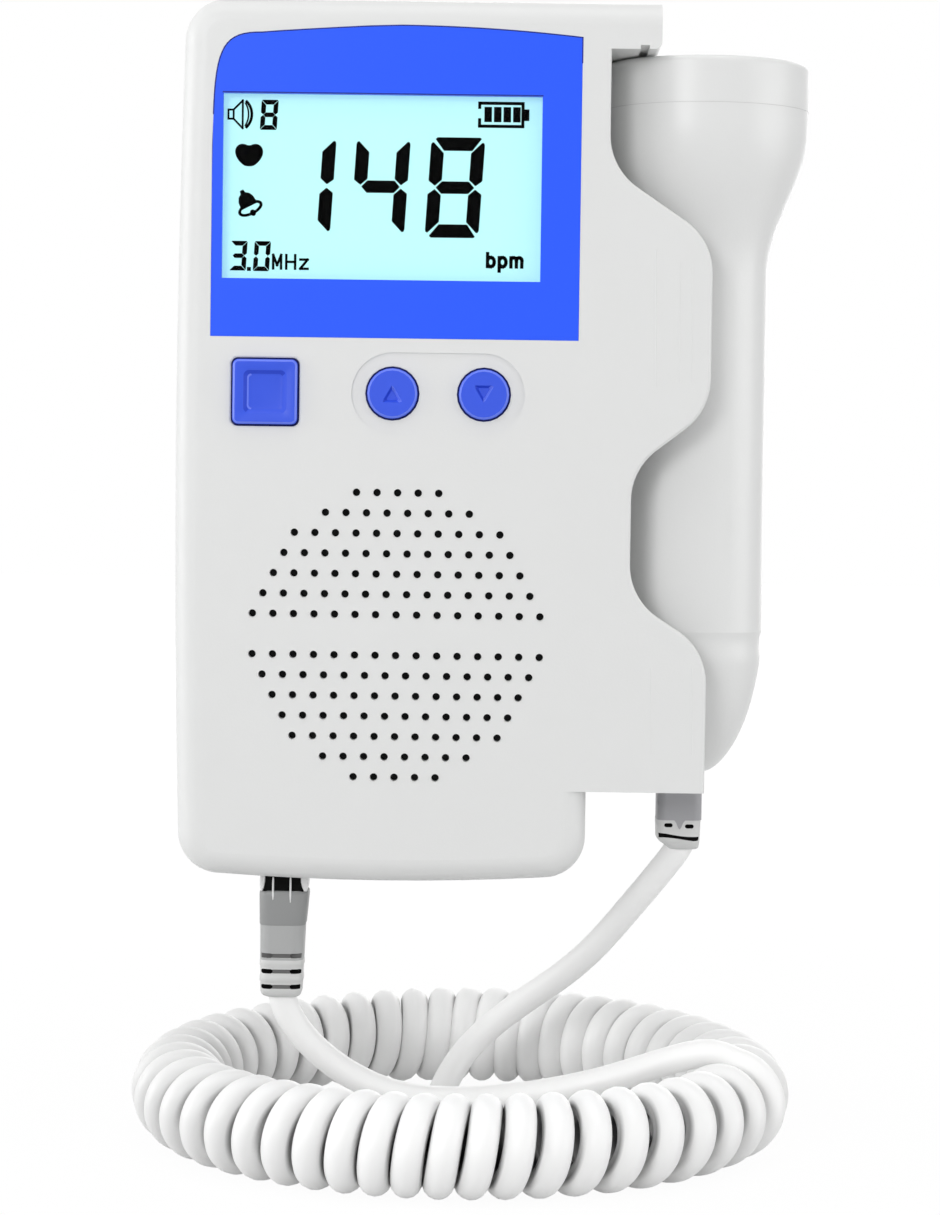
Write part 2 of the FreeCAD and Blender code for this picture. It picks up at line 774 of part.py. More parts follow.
grip_share = boot_grip_len / boot_len
grip_end_w, grip_end_d = width_at(boot_w, boot_end_w, grip_share), width_at(boot_d, boot_end_d, grip_share)
grip_end_z = housing_end - boot_grip_len
boot_end_z = housing_end - boot_len
save("plug_grip", tapered_boot(plug_x, y_plug, housing_end, boot_w, boot_d, grip_end_z, grip_end_w,
                               grip_end_d, boot_r))


def slotted_sleeve(sleeve, x, y, z_first, pitch, count, w, d, height, deep):
    """Cut rows of side slots, front and back, that let a boot bend."""
    for i in range(count):
        z1 = z_first - i * pitch
        for face in (-1, 1):
            y0, y1 = sorted((y + face * (d / 2 - deep), y + face * (d / 2 + past)))
            for side in (-1, 1):
                x0, x1 = sorted((x + side * boot_bar / 2, x + side * (w / 2 + past)))
                sleeve = sleeve.cut(block(x0, x1, y0, y1, z1 - height, z1))
    return sleeve


sleeve = tapered_boot(plug_x, y_plug, grip_end_z, grip_end_w, grip_end_d, boot_end_z, boot_end_w, boot_end_d,
                      boot_r)
sleeve = slotted_sleeve(sleeve, plug_x, y_plug, housing_end - boot_slot_first, boot_slot_pitch, boot_slots,
                        boot_w, boot_d, boot_slot_h, boot_slot_deep)
save("plug_strain_relief", sleeve.removeSplitter())

# ---------------------------------------------------------------- headphone socket
phone = block(phone_x - phone_half, phone_x + phone_half, phone_y - phone_half, phone_y + phone_half,
              case_top - phone_len, case_top - wall)
phone = phone.fuse(column(phone_x, phone_y, phone_neck_r, case_top - wall - overlap, case_top))
phone_bore = column(phone_x, phone_y, phone_r, case_top - phone_len + phone_end, case_top + past)
save("headphone_socket", phone.cut(phone_bore))

# ---------------------------------------------------------------- probe
def shoulder_rows():
    """Heights, centres, half sizes and squareness of the level sections from the head down to the handle."""
    rows = []
    for i in range(shoulder_sections + 1):
        share = i / shoulder_sections
        blend = (1 + math.cos(math.pi * share)) / 2
        rows.append((width_at(neck_top, neck_bottom, share), width_at(handle_x, head_x, blend),
                     width_at(handle_half_w, head_half_w, blend), width_at(handle_half_d, head_half_d, blend),
                     width_at(handle_squareness, 2, blend)))
    return rows


def tail_rows():
    """The same for the sections that draw the handle in to its lead, closer together towards the end."""
    rows = []
    for i in range(tail_sections + 1):
        share = math.sin(math.pi / 2 * i / tail_sections)
        drop = 1 - (1 - share ** 2) ** tail_fullness
        right = width_at(handle_x + handle_half_w, tail_x + tail_half_w, drop)
        left = width_at(handle_x - handle_half_w, tail_x - tail_half_w, drop)
        rows.append((width_at(tail_top, tail_end, share), (left + right) / 2, (right - left) / 2,
                     width_at(handle_half_d, tail_half_d, drop), handle_squareness))
    return rows


def oval(z, x, w, d, squareness):
    """A level closed spline that starts on the right: an ellipse at squareness 2, and fuller above it."""
    points = []
    for i in range(oval_points):
        t = 2 * math.pi * i / oval_points
        across = math.copysign(abs(math.cos(t)) ** (2 / squareness), math.cos(t))
        along = math.copysign(abs(math.sin(t)) ** (2 / squareness), math.sin(t))
        points.append(V(x + w * across, y_probe + d * along, z))
    spline = Part.BSplineCurve()
    spline.interpolate(points, PeriodicFlag=True)
    return Part.Wire(spline.toShape())


def head_prism(inset, z0, z1):
    """The head's oval, moved inwards by inset, from z0 up to z1."""
    base = Part.Face(oval(z0, head_x, head_half_w - inset, head_half_d - inset, 2))
    return base.extrude(V(0, 0, z1 - z0))


def probe_form(inset):
    """The probe's body form, moved inwards by inset: head, shoulder, handle and tail."""
    parts = [head_prism(inset, neck_top, seam_z)]
    for rows in (shoulder_rows(), tail_rows()):
        ovals = [oval(z, x, w - inset, d - inset, n) for z, x, w, d, n in rows]
        parts.append(Part.makeLoft(ovals, True, False))
    w, d = handle_half_w - inset, handle_half_d - inset
    grip = Part.Face(oval(tail_top, handle_x, w, d, handle_squareness))
    parts.append(grip.extrude(V(0, 0, neck_bottom - tail_top)))
    return parts[0].fuse(parts[1:]).removeSplitter()


def probe_bar(z, r, y0, y1):
    """A round bar across the handle at one height."""
    return post(handle_x, z, r, y0, y1)


def board_block(grow):
    """The probe's circuit board, grown by a clearance."""
    half_w, half_t = probe_board_w / 2 + grow, probe_board_t / 2 + grow
    return block(handle_x - half_w, handle_x + half_w, y_probe - half_t, y_probe + half_t,
                 probe_board_bottom - grow, probe_board_top + grow)


probe_seat_y = y_probe + probe_screw_seat


def build_probe_shells():
    """The two halves of the probe's body, hollow, with screw posts and a hole for the lead."""
    inner = probe_form(probe_wall).cut(block(-reach, reach, -reach, reach, -reach, tail_end + probe_floor))
    body = probe_form(0).cut(inner)
    far = handle_half_d - probe_wall / 2
    for z in probe_screw_z:
        body = body.fuse(probe_bar(z, probe_boss_r, y_probe - far, y_probe + far))
    body = body.cut(board_block(fit_gap))
    body = body.cut(column(tail_x, y_probe, lead_d / 2, tail_end - past, tail_end + probe_floor + past))
    front = body.common(block(0, reach, -reach, y_probe, -reach, reach))
    rear = body.common(block(0, reach, y_probe, reach, -reach, reach))
    for z in probe_screw_z:
        seat_r = probe_screw_head_r + fit_gap
        rear = rear.cut(probe_bar(z, seat_r, probe_seat_y, y_probe + handle_half_d + past))
        rear = rear.cut(probe_bar(z, probe_screw_r + fit_gap, y_probe - past, probe_seat_y + past))
        front = front.cut(probe_bar(z, probe_screw_r - thread_bite, probe_seat_y - probe_screw_len - overlap,
                                    y_probe + past))
    return front, rear


def build_probe_cap():
    """The head's end cap, with a spigot that seats inside the two body halves."""
    cap = head_prism(0, seam_z, head_top)
    rim = [e for e in cap.Edges if e.BoundBox.ZMin > head_top - near]
    cap = cap.makeFillet(cap_edge_r, rim)
    cap = cap.cut(head_prism(probe_wall, seam_z - past, head_top - cap_wall))
    cap = cap.fuse(head_prism(probe_wall - overlap, seam_z, seam_z + cap_spigot))
    cap = cap.fuse(head_prism(spigot_inset, seam_z - cap_spigot, seam_z + cap_spigot))
    bore = head_prism(spigot_inset + cap_wall, seam_z - cap_spigot - past, seam_z + cap_spigot + past)
    return cap.cut(bore).removeSplitter()


def build_crystals(top):
    """The two half-round crystals under the cap's face."""
    halves = []
    for side in (-1, 1):
        x0, x1 = sorted((head_x + side * crystal_gap / 2, head_x + side * reach))
        disc = column(head_x, y_probe, crystal_r, top - crystal_t, top)
        halves.append(disc.common(block(x0, x1, -reach, reach, -reach, reach)))
    return halves


for label, half_shell in zip(("front", "rear"), build_probe_shells()):
    save(f"probe_{label}_shell", half_shell)
spigot_inset = probe_wall + fit_gap
save("probe_cap", build_probe_cap())
crystal_top = head_top - cap_wall
save("probe_crystals", Part.makeCompound(build_crystals(crystal_top)))
backing_top = crystal_top - crystal_t
save("crystal_backing", head_prism(spigot_inset + cap_wall + fit_gap, backing_top - backing_t, backing_top))
probe_board = board_block(0)
screws = []
for z in probe_screw_z:
    hole = probe_bar(z, probe_screw_r + fit_gap, y_probe - probe_wall, y_probe + probe_wall)
    probe_board = probe_board.cut(hole)
    head = probe_bar(z, probe_screw_head_r, probe_seat_y, probe_seat_y + probe_screw_head_h)
    shank = probe_bar(z, probe_screw_r, probe_seat_y - probe_screw_len, probe_seat_y + overlap)
    screws.append(head.fuse(shank).removeSplitter())
save("probe_board", probe_board)
save("probe_screws", Part.makeCompound(screws))

boot_top_z = tail_end
boot_low_z = boot_top_z - probe_boot_len
relief_low_z = boot_low_z - relief_len
save("probe_boot", tapered_boot(tail_x, y_probe, boot_top_z, probe_boot_w, probe_boot_d, boot_low_z,
                                probe_boot_w, probe_boot_d, probe_boot_r))
relief = tapered_boot(tail_x, y_probe, boot_low_z, probe_boot_w, probe_boot_d, relief_low_z, relief_end_w,
                      relief_end_d, probe_boot_r)
relief = slotted_sleeve(relief, tail_x, y_probe, boot_low_z - relief_slot_h, relief_len / relief_slots,
                        relief_slots, probe_boot_w, probe_boot_d, relief_slot_h, relief_slot_deep)
save("probe_strain_relief", relief.removeSplitter())

# ---------------------------------------------------------------- lead: two plain runs and the ring of curls
def lead_tube(name, points):
    """A round lead of straight runs joined by tangent arcs, each as large as its runs allow."""
    pts = [V(*p) for p in points]
    edges = []
    start = pts[0]
    for i in range(1, len(pts) - 1):
        before, after = pts[i] - pts[i - 1], pts[i + 1] - pts[i]
        turn = before.getAngle(after)
        share = 0.45 * min(before.Length, after.Length)
        radius = share / math.tan(turn / 2)
        into, out = V(before).normalize(), V(after).normalize()
        a, b = pts[i] - into * share, pts[i] + out * share
        half_way = (out - into).normalize()
        middle = pts[i] + half_way * (math.sqrt(radius ** 2 + share ** 2) - radius)
        edges.append(Part.LineSegment(start, a).toShape())
        edges.append(Part.Arc(a, middle, b).toShape())
        start = b
        print(f"   {name} point {i}: turn {math.degrees(turn):5.1f} deg, arc radius {radius:6.1f}")
    edges.append(Part.LineSegment(start, pts[-1]).toShape())
    path = Part.Wire(edges)
    section = Part.Wire(Part.makeCircle(lead_d / 2, pts[0], pts[1] - pts[0]))
    tube = path.makePipeShell([section], True, False)
    ideal = math.pi * lead_d ** 2 / 4 * path.Length
    print(f"   {name}: length {path.Length:.1f}, volume {tube.Volume:.1f}, section times length {ideal:.1f}")
    return save(name, tube)


unit_lead_route = [
    (plug_x, y_plug, boot_end_z),
    (plug_x, y_plug, -91.6),
    (-16.5, -23.1, -95.2),
    (-13.2, -23.5, -98.4),
    (-7.6, -24.3, -101.2),
    (1.2, -26.0, -103.0),
    (12.4, -27.4, -102.8),
    (24.4, -28.7, -100.6),
    (35.6, -31.6, -97.4),
    (43.6, -36.8, -94.8),
    (49.4, -43.9, -95.6),
]
probe_lead_route = [
    (tail_x, y_probe, relief_low_z),
    (tail_x, y_probe, -67.4),
    (44.2, -16.4, -70.9),
    (41.5, -13.4, -74.2),
    (37.0, -8.4, -77.8),
    (31.4, -2.4, -83.6),
    (25.6, 2.0, -90.0),
    (18.0, 4.4, -95.8),
    (11.2, 2.2, -100.4),
    (7.4, -4.2, -105.2),
    (6.2, -12.0, -108.2),
    (7.4, -22.0, -108.2),
    (11.6, -31.4, -108.2),
    (19.6, -38.4, -108.2),
    (30.0, -41.3, -108.2),
    (40.7, -38.9, -108.2),
    (48.0, -34.9, -108.2),
    (54.2, -30.8, -108.1),
]
lead_tube("lead_from_unit", unit_lead_route)
lead_tube("lead_to_probe", probe_lead_route)

turn_a = math.radians(coil_end_b)
ring_centre = V(ring_x, -ring_depth, coil_z)
start_at = ring_centre + V(ring_r * math.cos(turn_a), ring_r * math.sin(turn_a), 0)
tangent = V(-math.sin(turn_a), math.cos(turn_a), 0)
disc = Part.Face(Part.Wire(Part.makeCircle(coil_r, start_at, tangent)))
save("lead_curls", disc.revolve(ring_centre, UP, 360 + coil_end_a - coil_end_b))
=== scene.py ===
"""Looks for a hand-held fetal doppler monitor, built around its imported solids.

Every length is in metres in the part's own frame: +Z is up along the case, the display faces -Y, and the
probe's holster is on the +X side. Values given in millimetres say so and are scaled where they are used.
"""

from __future__ import annotations

import logging
import math
from dataclasses import dataclass
from enum import Enum
from functools import cache

import bmesh
import bpy
from mathutils import Matrix, Vector


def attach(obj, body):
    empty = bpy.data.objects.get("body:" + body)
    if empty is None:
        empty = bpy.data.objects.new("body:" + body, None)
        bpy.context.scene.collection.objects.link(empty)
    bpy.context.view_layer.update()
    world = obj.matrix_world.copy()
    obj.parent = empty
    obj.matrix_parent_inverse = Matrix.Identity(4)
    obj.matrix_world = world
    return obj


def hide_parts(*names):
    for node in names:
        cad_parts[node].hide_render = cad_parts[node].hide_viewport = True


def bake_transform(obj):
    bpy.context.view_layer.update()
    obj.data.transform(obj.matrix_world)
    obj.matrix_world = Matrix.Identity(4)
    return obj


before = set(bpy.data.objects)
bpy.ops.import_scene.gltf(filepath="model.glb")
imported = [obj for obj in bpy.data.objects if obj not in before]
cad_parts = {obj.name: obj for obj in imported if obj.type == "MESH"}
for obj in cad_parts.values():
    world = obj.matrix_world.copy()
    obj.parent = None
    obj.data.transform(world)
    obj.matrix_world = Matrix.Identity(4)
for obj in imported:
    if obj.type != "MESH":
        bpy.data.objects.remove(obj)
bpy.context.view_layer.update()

LOG = logging.getLogger("doppler")
MM = 0.001

Point = tuple[float, float, float]
Flat = tuple[float, float]
Colour = tuple[float, float, float]
# A level section: its height, sideways shift, half width, half depth and corner radius.
Section = tuple[float, float, float, float, float]
Socket = bpy.types.NodeSocket
Piece = bpy.types.Object


class Body(Enum):
    """The rigid bodies that pieces ride on."""

    UNIT = "main_unit"
    POWER = "power_key"
    UP = "volume_up_key"
    DOWN = "volume_down_key"
    PROBE = "probe"


class Grain(Enum):
    """How a surface's fine relief is made."""

    NONE = "none"
    SPARK = "spark"
    SKIN = "skin"
    DRAWN = "drawn"


# ---- node trees
class Tree:
    """A node tree, with short ways to add and join its nodes."""

    def __init__(self, tree: bpy.types.NodeTree) -> None:
        """Work on a node tree."""
        self.tree = tree

    def set(self, target: Socket, value: object) -> None:
        """Join a socket to an input, or give the input a value; a colour of three numbers becomes opaque."""
        if isinstance(value, Socket):
            self.tree.links.new(value, target)
        elif target.type == "RGBA":
            target.default_value = (*value, 1.0)
        else:
            target.default_value = value

    def add(self, kind: str, **values: object) -> bpy.types.Node:
        """Add a node, with its properties set and its inputs joined or set.

        Args:
            kind: the node's Blender type name.
            **values: properties of the node, or sockets or values for its inputs, by the input's name with
                underscores for spaces.

        Returns:
            The new node.
        """
        node = self.tree.nodes.new(kind)
        for key, value in values.items():
            if hasattr(node, key):
                setattr(node, key, value)
            else:
                self.set(node.inputs[key.replace("_", " ")], value)
        return node

    def seen_directly(self) -> Socket:
        """A socket that is 1 where the camera sees a thing, also in gloss or through glass, and else 0."""
        path = self.add("ShaderNodeLightPath")
        total = path.outputs["Is Camera Ray"]
        for kind in ("Is Glossy Ray", "Is Transmission Ray"):
            either = self.add("ShaderNodeMath", operation="MAXIMUM")
            self.set(either.inputs[0], total)
            self.set(either.inputs[1], path.outputs[kind])
            total = either.outputs[0]
        return total


class Nodes(Tree):
    """A material's node tree."""

    def __init__(self, name: str) -> None:
        """Start a named material whose tree ends in a Principled shader."""
        self.material = bpy.data.materials.new(name)
        self.material.use_nodes = True
        super().__init__(self.material.node_tree)
        self.shader = self.tree.nodes["Principled BSDF"]

    def place(self) -> Socket:
        """The piece's own Object coordinates."""
        return self.add("ShaderNodeTexCoord").outputs["Object"]

    def noise(self, scale: float, detail: float = 3.0, stretch: Point | None = None) -> Socket:
        """A grey noise over the piece.

        Args:
            scale: cells per metre.
            detail: octaves.
            stretch: factors on the coordinates; a small one draws the cells out along its axis.

        Returns:
            The noise's value socket.
        """
        place = self.place()
        if stretch is not None:
            place = self.add("ShaderNodeMapping", Vector=place, Scale=stretch).outputs["Vector"]
        return self.add("ShaderNodeTexNoise", Scale=scale, Detail=detail, Vector=place).outputs["Fac"]

    def spread(self, value: Socket, low: float, high: float) -> Socket:
        """Map a noise's usual range, from 0.3 to 0.7, to another."""
        return self.add("ShaderNodeMapRange", Value=value, From_Min=0.3, From_Max=0.7, To_Min=low,
                        To_Max=high).outputs["Result"]

    def mix(self, share: Socket, low: Socket | Colour, high: Socket | Colour) -> Socket:
        """A colour between two, each a socket or a linear colour, by a socket that goes from 0 to 1."""
        node = self.add("ShaderNodeMix", data_type="RGBA")
        for index, value in ((0, share), (6, low), (7, high)):
            self.set(node.inputs[index], value)
        return node.outputs[2]

    def relief(self, value: Socket, depth: float, strength: float) -> None:
        """Bump the surface by a height socket.

        Args:
            value: the height socket.
            depth: the height of 1, in metres.
            strength: the share of the bump that shows.
        """
        bump = self.add("ShaderNodeBump", Strength=strength, Distance=depth, Height=value)
        self.plain(Normal=bump.outputs["Normal"])

    def plain(self, **values: object) -> None:
        """Set or join the shader's own inputs, by their names with underscores for spaces."""
        for key, value in values.items():
            self.set(self.shader.inputs[key.replace("_", " ")], value)


# ---- finishes
def shade(colour: Colour, factor: float) -> Colour:
    """A colour made darker or lighter by a factor."""
    return tuple(min(1.0, c * factor) for c in colour)


@dataclass(frozen=True)
class Finish:
    """A surface finish: its colour, gloss and fine relief, and the dark colour of any painted shade."""

    name: str
    colour: Colour
    rough: float
    grain: Grain = Grain.SPARK
    grain_per_m: float = 2200.0
    grain_depth: float = 0.00002
    mottle: float = 0.03
    metallic: float = 0.0
    coat: float = 0.0
    glow: Colour | None = None
    glow_strength: float = 0.0
    alpha: float = 1.0
    soft: float = 0.0
    gloss: float = 0.5
    painted_shade: Colour | None = None

    def make(self) -> bpy.types.Material:
        """Build a node material with colour and gloss variation, painted shade from the piece's own attribute
        where the finish has a shade colour, and the grain's relief.
        """
        nodes = Nodes(self.name)
        colour: Socket | Colour = self.colour
        if self.mottle:
            colour = nodes.mix(nodes.noise(MOTTLE_PER_M, 2.0), shade(self.colour, 1 - self.mottle),
                               shade(self.colour, 1 + self.mottle))
            # Painted shade: a dark colour mixed in by the piece's own attribute, where shade would fall.
            if self.painted_shade is not None:
                share = nodes.add("ShaderNodeAttribute", attribute_name="painted_shade").outputs["Fac"]
                colour = nodes.mix(share, colour, self.painted_shade)
        nodes.plain(Base_Color=colour, Roughness=self.rough, Metallic=self.metallic, Coat_Weight=self.coat,
                    Coat_Roughness=COAT_ROUGH, Specular_IOR_Level=self.gloss, Alpha=self.alpha)
        if self.soft:
            nodes.plain(Subsurface_Weight=self.soft, Subsurface_Scale=SOFT_DEPTH,
                        Subsurface_Radius=(1.0, 1.0, 1.0))
        if self.glow is not None:
            nodes.plain(Emission_Color=self.glow, Emission_Strength=self.glow_strength)
        if self.grain is not Grain.NONE:
            rough = nodes.spread(nodes.noise(GLOSS_PER_M), self.rough * 0.92, self.rough * 1.08)
            nodes.plain(Roughness=rough)
            detail, strength, stretch = GRAINS[self.grain]
            nodes.relief(nodes.noise(self.grain_per_m, detail, stretch), self.grain_depth, strength)
        return nodes.material


MOTTLE_PER_M = 90.0
GLOSS_PER_M = 420.0
COAT_ROUGH = 0.12
SOFT_DEPTH = 0.0015
# The octaves, strength and stretch of each grain's noise.
GRAINS = {
    Grain.SPARK: (4.0, 1.0, None),
    Grain.SKIN: (1.0, 0.7, None),
    Grain.DRAWN: (2.0, 1.0, (1.0, 1.0, 0.06)),
}

CASE_WHITE = Finish("case_white_abs", (0.735, 0.74, 0.735), 0.42, Grain.SPARK, 2600.0, 0.000012, 0.008,
                    soft=0.04)
PROBE_WHITE = Finish("probe_white_abs", (0.745, 0.75, 0.745), 0.34, Grain.SPARK, 2600.0, 0.000009, 0.008,
                     soft=0.04)
KEY_BLUE = Finish("key_blue", (0.032, 0.092, 0.74), 0.36, Grain.SKIN, 1500.0, 0.00001, 0.05, gloss=0.35)
# A lighter blue painted as a highlight on the keys' bevels and lit hollow walls, and a darker blue painted as
# shade in their hollows.
KEY_PAINTED_HIGHLIGHT = Finish("key_painted_highlight", (0.125, 0.20, 0.86), 0.32, Grain.SKIN, 1500.0, 0.00001, 0.05, gloss=0.4)
KEY_PAINTED_SHADE = Finish("key_painted_shade_blue", (0.018, 0.058, 0.58), 0.45, Grain.SKIN, 1500.0, 0.00001, 0.05, gloss=0.3)
# Dark navy painted as shade in the gaps round the keys.
KEY_SHADE = Finish("key_shade", (0.006, 0.010, 0.10), 0.6, Grain.SPARK, 1800.0, 0.00001, 0.1, gloss=0.2)
# The print's faint blue glow is painted light; the print itself is no lamp.
PRINT_BLUE_PAINTED_GLOW = Finish("print_blue_painted_glow", (0.022, 0.104, 0.93), 0.34, Grain.NONE, mottle=0.0, glow=(0.02, 0.06, 1.0),
                    glow_strength=0.06, gloss=0.22)
# Navy for a thin line of painted shadow along the window's top edges.
NAVY_PAINTED_SHADOW = Finish("navy_painted_shadow", (0.012, 0.022, 0.26), 0.4, Grain.NONE, mottle=0.0, gloss=0.2)
LENS_CLEAR = Finish("lens_clear", (0.05, 0.05, 0.05), 0.06, Grain.NONE, mottle=0.0, alpha=0.02)
LCD_CYAN = Finish("lcd_cyan", (0.33, 0.60, 0.60), 0.45, Grain.NONE, mottle=0.0, glow=(0.50, 1.0, 1.0),
                  glow_strength=0.50)
LCD_INK = Finish("lcd_ink", (0.001, 0.001, 0.001), 0.9, Grain.NONE, mottle=0.0, gloss=0.0)
# The lead's dark second colour is painted shade: between the curls, inside the coil and on the ring's left
# and right sides.
LEAD_WHITE = Finish("lead_white_pvc", (0.945, 0.945, 0.94), 0.42, Grain.SKIN, 900.0, 0.00002, 0.010,
                    soft=0.04, painted_shade=(0.045, 0.045, 0.047))
BOOT_GREY = Finish("boot_grey", (0.275, 0.28, 0.28), 0.46, Grain.SKIN, 1400.0, 0.00002, 0.05)
PROBE_BOOT = Finish("probe_boot_grey", (0.35, 0.35, 0.365), 0.46, Grain.SKIN, 1400.0, 0.00002, 0.05)
BOOT_LIGHT = Finish("boot_light_grey", (0.40, 0.405, 0.405), 0.46, Grain.SKIN, 1400.0, 0.00002, 0.05)
BOOT_PALE = Finish("boot_pale_grey", (0.62, 0.625, 0.62), 0.46, Grain.SKIN, 1400.0, 0.00002, 0.05)
# Dark grey painted as shade in the plug sleeve's slots.
BOOT_SHADE = Finish("boot_shade", (0.13, 0.13, 0.13), 0.6, Grain.SPARK, 1800.0, 0.00001, 0.05)
SEAM_FAINT = Finish("seam_faint", (0.60, 0.60, 0.60), 0.6, Grain.NONE, mottle=0.0)
SEAM_GREY = Finish("seam_grey", (0.40, 0.40, 0.40), 0.7, Grain.SPARK, 2000.0, 0.00001, 0.05)
# Black for the plug's collar; on the walls of the boots' slots and cuts it is painted shade.
BLACK_AND_SLOT_SHADE = Finish("black_and_slot_shade", (0.004, 0.004, 0.004), 0.85, Grain.SPARK, 2000.0, 0.00001, 0.1, gloss=0.1)
CLIP_WHITE = Finish("clip_white", (0.80, 0.80, 0.80), 0.30, Grain.SPARK, 2200.0, 0.00001, 0.03)
BLACK = Finish("black_moulded", (0.012, 0.012, 0.013), 0.42, Grain.SPARK, 2400.0, 0.00001, 0.1)
INNER_GREY = Finish("inner_grey", (0.52, 0.52, 0.53), 0.5, Grain.SPARK, 2000.0, 0.00001, 0.04)
BOARD_GREEN = Finish("board_green", (0.012, 0.10, 0.045), 0.35, Grain.SKIN, 1800.0, 0.00001, 0.12, coat=0.4)
STEEL = Finish("zinc_steel", (0.56, 0.56, 0.57), 0.32, Grain.DRAWN, 1200.0, 0.00001, 0.04, metallic=1.0)
NICKEL = Finish("nickel", (0.68, 0.67, 0.64), 0.22, Grain.DRAWN, 1500.0, 0.000006, 0.03, metallic=1.0)
GOLD = Finish("gold_plate", (0.83, 0.62, 0.26), 0.22, Grain.DRAWN, 1500.0, 0.000005, 0.03, metallic=1.0)
CELL_FILM = Finish("cell_film", (0.016, 0.022, 0.03), 0.24, Grain.SKIN, 300.0, 0.00003, 0.1, coat=0.5)
PAPER_BLACK = Finish("coated_paper", (0.005, 0.005, 0.005), 0.8, Grain.SPARK, 900.0, 0.00006, 0.2)
FOAM = Finish("foam", (0.012, 0.012, 0.012), 0.9, Grain.SPARK, 1400.0, 0.0001, 0.2)
FERRITE = Finish("plated_magnet", (0.07, 0.07, 0.072), 0.4, Grain.SPARK, 800.0, 0.00003, 0.1, metallic=0.6)
CERAMIC = Finish("silvered_ceramic", (0.62, 0.58, 0.50), 0.35, Grain.SPARK, 2000.0, 0.00001, 0.06,
                 metallic=0.5)
EPOXY = Finish("backing_epoxy", (0.02, 0.018, 0.016), 0.55, Grain.SPARK, 900.0, 0.00004, 0.2)


@cache
def material(finish: Finish) -> bpy.types.Material:
    """The finish's material, made on first use."""
    return finish.make()


def coat(piece: Piece, *finishes: Finish) -> Piece:
    """Give a piece one finish all over, or several for its faces to choose from, and return it."""
    piece.data.materials.clear()
    for finish in finishes:
        piece.data.materials.append(material(finish))
    return piece


# ---- making pieces
def link(name: str, data: bpy.types.ID) -> Piece:
    """Put a mesh, a curve or a light into the scene as a named object at the origin, and return it."""
    made = bpy.data.objects.new(name, data)
    bpy.context.scene.collection.objects.link(made)
    return made


def settle(piece: Piece, finish: Finish | None, body: Body = Body.UNIT,
           stands_for: str = "") -> None:
    """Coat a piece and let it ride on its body.

    Args:
        piece: the piece.
        finish: its finish, or None where it already has its own.
        body: what it moves with.
        stands_for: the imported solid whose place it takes, if any.
    """
    if finish is not None:
        coat(piece, finish)
    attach(piece, body.value)
    if stands_for:
        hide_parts(stands_for)
    LOG.info("%s rides on %s: %d faces", piece.name, body.value, len(piece.data.polygons))


def mesh_of(name: str, points: list[Point], edges: list[tuple[int, int]],
            faces: list[tuple[int, ...]]) -> bpy.types.Mesh:
    """A mesh of points in millimetres with their edges and faces."""
    mesh = bpy.data.meshes.new(name)
    mesh.from_pydata([(x * MM, y * MM, z * MM) for x, y, z in points], edges, faces)
    return mesh


def baked(source: Piece, name: str, place: Matrix | None = None) -> Piece:
    """Turn an object as evaluated into a plain mesh piece and remove the source.

    Args:
        source: a curve, text or mesh object with live modifiers.
        name: the piece's name.
        place: where its mesh goes, as a matrix.

    Returns:
        The mesh piece, at the origin.
    """
    bpy.context.view_layer.update()
    graph = bpy.context.evaluated_depsgraph_get()
    mesh = bpy.data.meshes.new_from_object(source.evaluated_get(graph))
    if place is not None:
        mesh.transform(place)
    mesh.name = name
    bpy.data.objects.remove(source)
    return link(name, mesh)


def smooth(piece: Piece, angle: float) -> Piece:
    """Shade a piece smooth, but for edges sharper than an angle in degrees."""
    piece.data.shade_smooth()
    piece.data.set_sharp_from_angle(angle=math.radians(angle))
    return piece


def outwards(piece: Piece) -> Piece:
    """Turn a closed mesh's faces outwards."""
    work = bmesh.new()
    work.from_mesh(piece.data)
    bmesh.ops.remove_doubles(work, verts=work.verts, dist=1e-7)
    bmesh.ops.recalc_face_normals(work, faces=work.faces)
    work.to_mesh(piece.data)
    work.free()
    return piece


def stacked(name: str, loops: list[list[Point]], closed: bool = False) -> Piece:
    """A skin over a stack of loops that all have as many points, with its two ends filled or joined.

    Args:
        name: the piece's name.
        loops: the loops in millimetres, in order.
        closed: whether the last loop joins the first, as in a ring; if not, both ends are filled.

    Returns:
        The mesh piece.
    """
    count = len(loops[0])
    faces: list[tuple[int, ...]] = []
    for row in range(len(loops) if closed else len(loops) - 1):
        low, high = row * count, (row + 1) % len(loops) * count
        for i in range(count):
            j = (i + 1) % count
            faces.append((low + i, low + j, high + j, high + i))
    if not closed:
        faces.append(tuple(reversed(range(count))))
        faces.append(tuple((len(loops) - 1) * count + i for i in range(count)))
    return outwards(link(name, mesh_of(name, [point for loop in loops for point in loop], [], faces)))


def upright(outline: list[Flat], rows: tuple[float, ...], centre: Flat = (0.0, 0.0)) -> list[list[Point]]:
    """A flat outline about a centre, as a loop in the XZ plane at each of some depths."""
    return [[(centre[0] + a, y, centre[1] + b) for a, b in outline] for y in rows]


def soft_square(half: float, corner: float = math.inf, steps: int = 6) -> list[Flat]:
    """A square with round corners about (0, 0); with a corner no smaller than its half it is a circle."""
    return soft_box(half, half, min(half, corner), steps)


def soft_box(half_a: float, half_b: float, corner: float, steps: int = 6) -> list[Flat]:
    """A rectangle with round corners about (0, 0); one with corners as large as its halves is a circle."""
    made: list[Flat] = []
    for quarter, (a, b) in enumerate(((1, 1), (-1, 1), (-1, -1), (1, -1))):
        centre = (a * (half_a - corner), b * (half_b - corner))
        made += arc_points(centre, corner, 90 * quarter, 90 * quarter + 90, steps)
    return made


